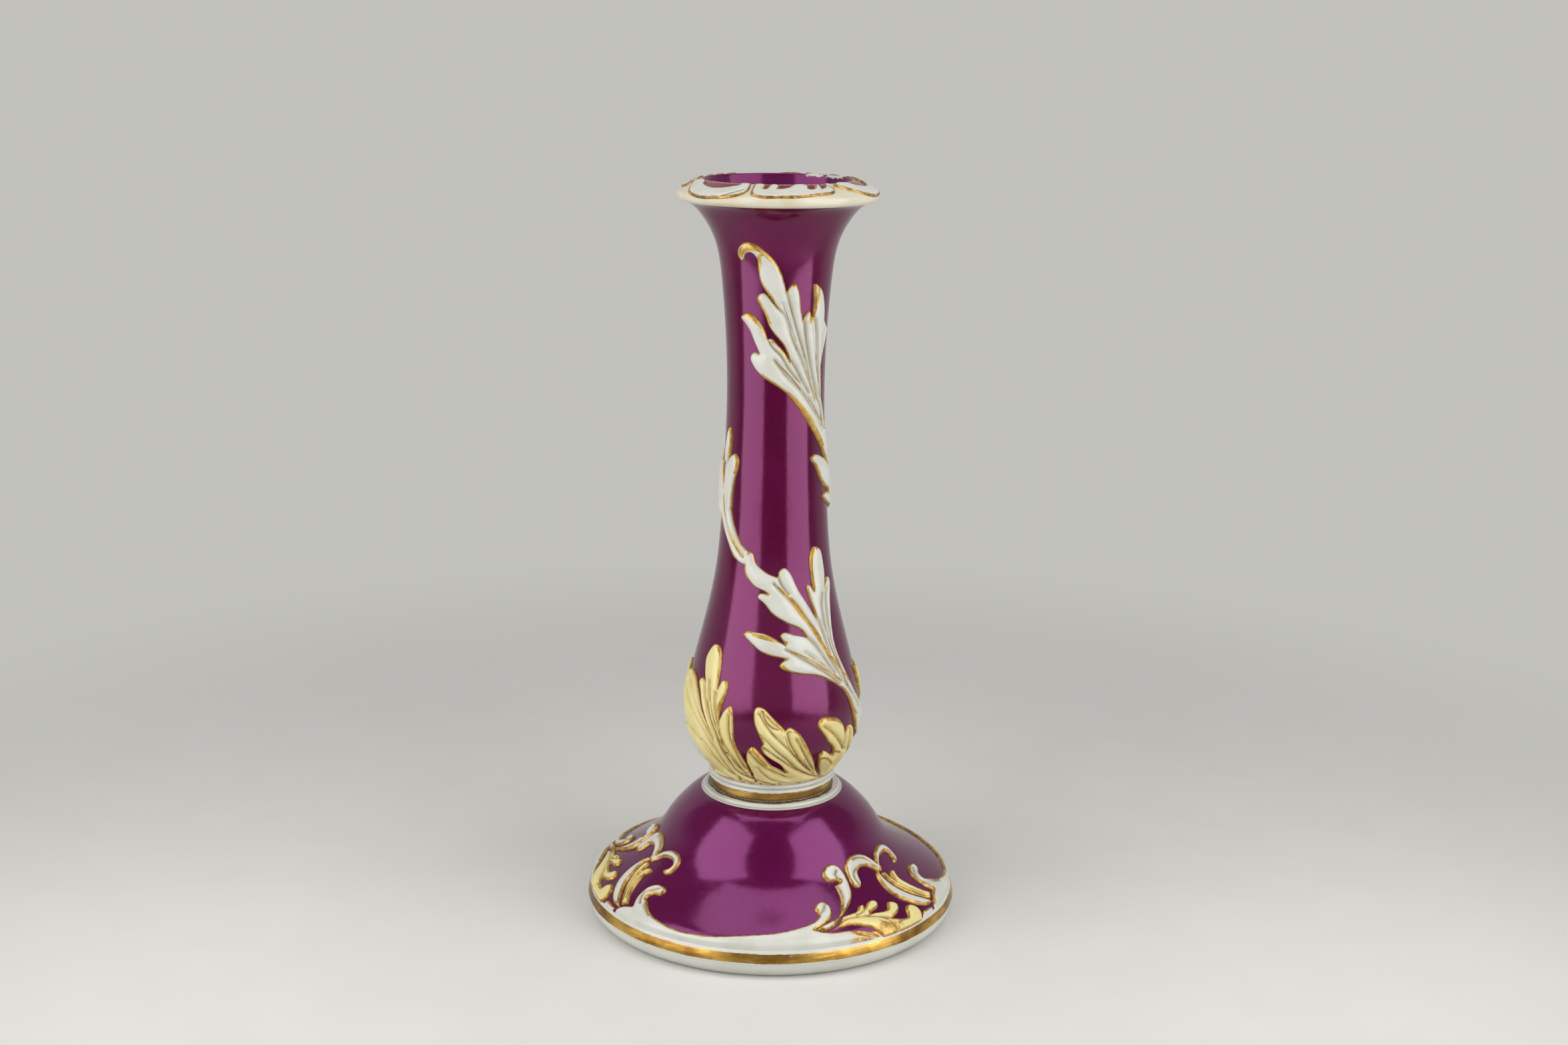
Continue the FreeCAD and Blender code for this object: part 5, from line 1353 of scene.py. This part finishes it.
rimBrush = {
    "gilt": [
        (0.44, [(-15.8, 235.4), (-13.5, 235.75), (-9.6, 235.75)]),
        (0.36, [(-6.2, 235.2), (-4, 235.7), (-1, 235.7)]),
        (0.36, [(8.4, 235.3), (12, 235.75), (18, 235.8)]),
        (0.4, [(25.2, 235.1), (27, 235.6), (28.6, 235.6), (29.4, 234.9)]),
        (0.4, [(34.5, 235.7), (37.5, 235.8), (39, 235.6)]),
        (0.3, [(35.2, 235.2), (37.4, 234.4), (38.6, 233.8)]),
        (0.36, [(-26, 232.3), (-22, 232.95), (-18.8, 233.7)]),
    ],
    # painted shadow lines under the lower edges of the scrolls
    "brown": [
        (0.32, [(-64, 232.9), (-59, 232.2), (-54, 231.7), (-48, 231.4), (-40, 231.5)]),
        (0.3, [(-33, 232.4), (-26, 233.5), (-21, 234.4)]),
        (0.32, [(-14.8, 233), (-10, 232.5), (-4, 232.3), (4, 232.35), (12, 232.45)]),
        (0.36, [(10, 232.5), (18, 232.65), (26, 232.95), (34, 233.25)]),
    ],
}
rimLook = {"grid": 0.26, "rise": 0.62, "shoulder": 0.5, "shoulderWidth": 0.5, "crown": 1.5, "notch": 0.2,
           "notchWidth": 0.28, "fadeBelow": 0}
for name, cad, leaf, slotName in (("rimCartouche", "rim_cartouche", cartouche, whiteSlot),
                                  ("rimLeafScroll", "rim_leaf_scroll", leafScroll, buffSlot)):
    moulded(*thirds(name, cad), thirdTurn, rimWall, leaf, rimLook, rimScroll, slotName, rimBrush)
print("ornament moulded")


studio = {
    # metres and degrees; radiance is what the face of a box gives
    # two tall softboxes stand beside the object and lean over it
    "sideBox": {"radiance": 2.6, "aroundFoot": 50, "aroundTop": 64, "wide": 0.43, "footAway": 0.46,
                "topAway": 0.34, "foot": 0.03, "top": 0.64},
    # one hangs above it, between near and far
    "topBox": {"radiance": 2.0, "wide": 0.9, "near": -0.2, "far": 0.2, "height": 1.0},
    # dim light from all round
    "sky": 0.22,
    "skyTone": (1.0, 0.99, 0.97, 1.0),
    # paper far from the object, and the sky near the horizon, as seen straight or mirrored
    "paperLevel": 0.72,
    "paperTone": paint(224, 223, 218),
    # paper near the object, as it is lit
    "paper": paint(210, 209, 205),
    "paperGrain": paint(205, 204, 199),
}
paper = {"front": -2.6, "back": 1.6, "bend": 0.9, "top": 2.6, "halfWidth": 3.2}  # metres


def paperLook():
    # lit paper near the object, so that the floor keeps its shadow, and an even tone further off
    bench = Bench(bpy.data.materials.new("studioPaper"))
    grain = bench.step(bench.cloud(30, 3), 0.3, 0.7) * 0.4
    colour = bench.blend(grain, studio["paper"], studio["paperGrain"])
    lit = bench.add("ShaderNodeBsdfPrincipled", {}, {"Base Color": colour, "Roughness": 0.9})
    glow = bench.add("ShaderNodeEmission", {},
                     {"Color": studio["paperTone"], "Strength": studio["paperLevel"]})
    mirrored = bench.larger(bench.add("ShaderNodeLightPath", out="Is Glossy Ray"),
                            bench.add("ShaderNodeLightPath", out="Is Transmission Ray"))
    behind = bench.step(bench.along("Y"), -0.1, 0.3)
    seen = bench.larger(bench.add("ShaderNodeLightPath", out="Is Camera Ray"), mirrored * behind)
    far = bench.step(bench.radius(), 150, 460)
    sheet = bench.add("ShaderNodeMixShader", {}, {0: seen * far, 1: lit, 2: glow})
    bench.add("ShaderNodeOutputMaterial", {}, {"Surface": sheet})
    return bench.owner


def stageFloor():
    # a pale sheet of paper that runs back and curves up behind
    bm = bmesh.new()
    line = [(paper["front"], 0.0), (paper["back"], 0.0)]
    line += [(paper["back"] + paper["bend"] * math.sin(turn), paper["bend"] - paper["bend"] * math.cos(turn))
             for turn in np.radians(np.arange(5, 91, 5))]
    line += [(paper["back"] + paper["bend"], paper["top"])]
    verts = [bm.verts.new((-paper["halfWidth"], y, z)) for y, z in line]
    edges = [bm.edges.new(pair) for pair in zip(verts, verts[1:])]
    sheet = bmesh.ops.extrude_edge_only(bm, edges=edges)
    moved = [item for item in sheet["geom"] if isinstance(item, bmesh.types.BMVert)]
    bmesh.ops.translate(bm, vec=(2 * paper["halfWidth"], 0, 0), verts=moved)
    bmesh.ops.recalc_face_normals(bm, faces=bm.faces)
    if sum(face.normal.z for face in bm.faces) < 0:
        bmesh.ops.reverse_faces(bm, faces=bm.faces)
    floor = bpy.data.objects.new("studioFloor", smoothMesh("studioFloor", bm, [paperLook()]))
    scene.collection.objects.link(floor)


def studioSky():
    # dim light from all round; the camera and mirrors see the tone of the paper near the horizon
    world = bpy.data.worlds.new("studioSky")
    bench = Bench(world, "Generated")
    low = 1 - bench.step(bench.along("Z"), 0.2, 0.5)
    shader = bench.add("ShaderNodeBackground", {}, {"Color": studio["skyTone"], "Strength": studio["sky"]})
    pale = bench.add("ShaderNodeBackground", {},
                     {"Color": studio["paperTone"], "Strength": studio["paperLevel"]})
    for ray in ("Is Camera Ray", "Is Glossy Ray", "Is Transmission Ray"):
        seen = bench.add("ShaderNodeLightPath", out=ray) * low
        shader = bench.add("ShaderNodeMixShader", {}, {0: seen, 1: shader, 2: pale})
    bench.add("ShaderNodeOutputWorld", {}, {"Surface": shader})
    scene.world = world


def softBox(name, place, wide, tall, radiance, outward, upward):
    # a glowing panel: outward is the way it shines, upward the way its tall side runs
    lamp = bpy.data.lights.new(name, "AREA")
    lamp.shape = "RECTANGLE"
    lamp.size = wide
    lamp.size_y = tall
    lamp.energy = radiance * math.pi * wide * tall
    holder = bpy.data.objects.new(name, lamp)
    scene.collection.objects.link(holder)
    back = -Vector(outward).normalized()
    up = Vector(upward).normalized()
    across = up.cross(back)
    holder.matrix_world = Matrix.Translation(place) @ Matrix((across, up, back)).transposed().to_4x4()


def sidePoint(away, around, height, sign):
    # a place `away` metres from the axis and `around` degrees from the front, to the left or the right
    turn = math.radians(around)
    return Vector((away * math.sin(turn) * sign, -away * math.cos(turn), height))


def studioLamps():
    side = studio["sideBox"]
    for name, sign in (("leftSoftbox", -1), ("rightSoftbox", 1)):
        low = sidePoint(side["footAway"], side["aroundFoot"], side["foot"], sign)
        high = sidePoint(side["topAway"], side["aroundTop"], side["top"], sign)
        upward = high - low
        middle = (low + high) / 2
        across = upward.cross(Vector((0, 0, middle.z)) - middle)
        softBox(name, middle, side["wide"], upward.length, side["radiance"], across.cross(upward), upward)
    top = studio["topBox"]
    place = Vector((0, (top["near"] + top["far"]) / 2, top["height"]))
    deep = top["far"] - top["near"]
    softBox("topSoftbox", place, top["wide"], deep, top["radiance"], (0, 0, -1), (0, 1, 0))


studioLamps()
studioSky()
stageFloor()

view = {
    # the camera that the photograph was taken with, fitted to the object's ellipses and outline
    "lens": 47.8093,
    "sensorWidth": 36,
    "place": (3.058, -640.46, 284.17),  # millimetres
    "down": 13.6776,  # degrees
    "roll": 0.6526,
    "nearest": 0.01,  # metres
}
camera = bpy.data.cameras.new("photoCamera")
camera.sensor_fit = "HORIZONTAL"
camera.sensor_width = view["sensorWidth"]
camera.lens = view["lens"]
camera.clip_start = view["nearest"]
photoCamera = bpy.data.objects.new("photoCamera", camera)
photoCamera.matrix_world = (Matrix.Translation(Vector(view["place"]) * mm)
                            @ Matrix.Rotation(math.radians(90 - view["down"]), 4, "X")
                            @ Matrix.Rotation(math.radians(view["roll"]), 4, "Z"))
scene.collection.objects.link(photoCamera)
scene.camera = photoCamera

print("scene ready")
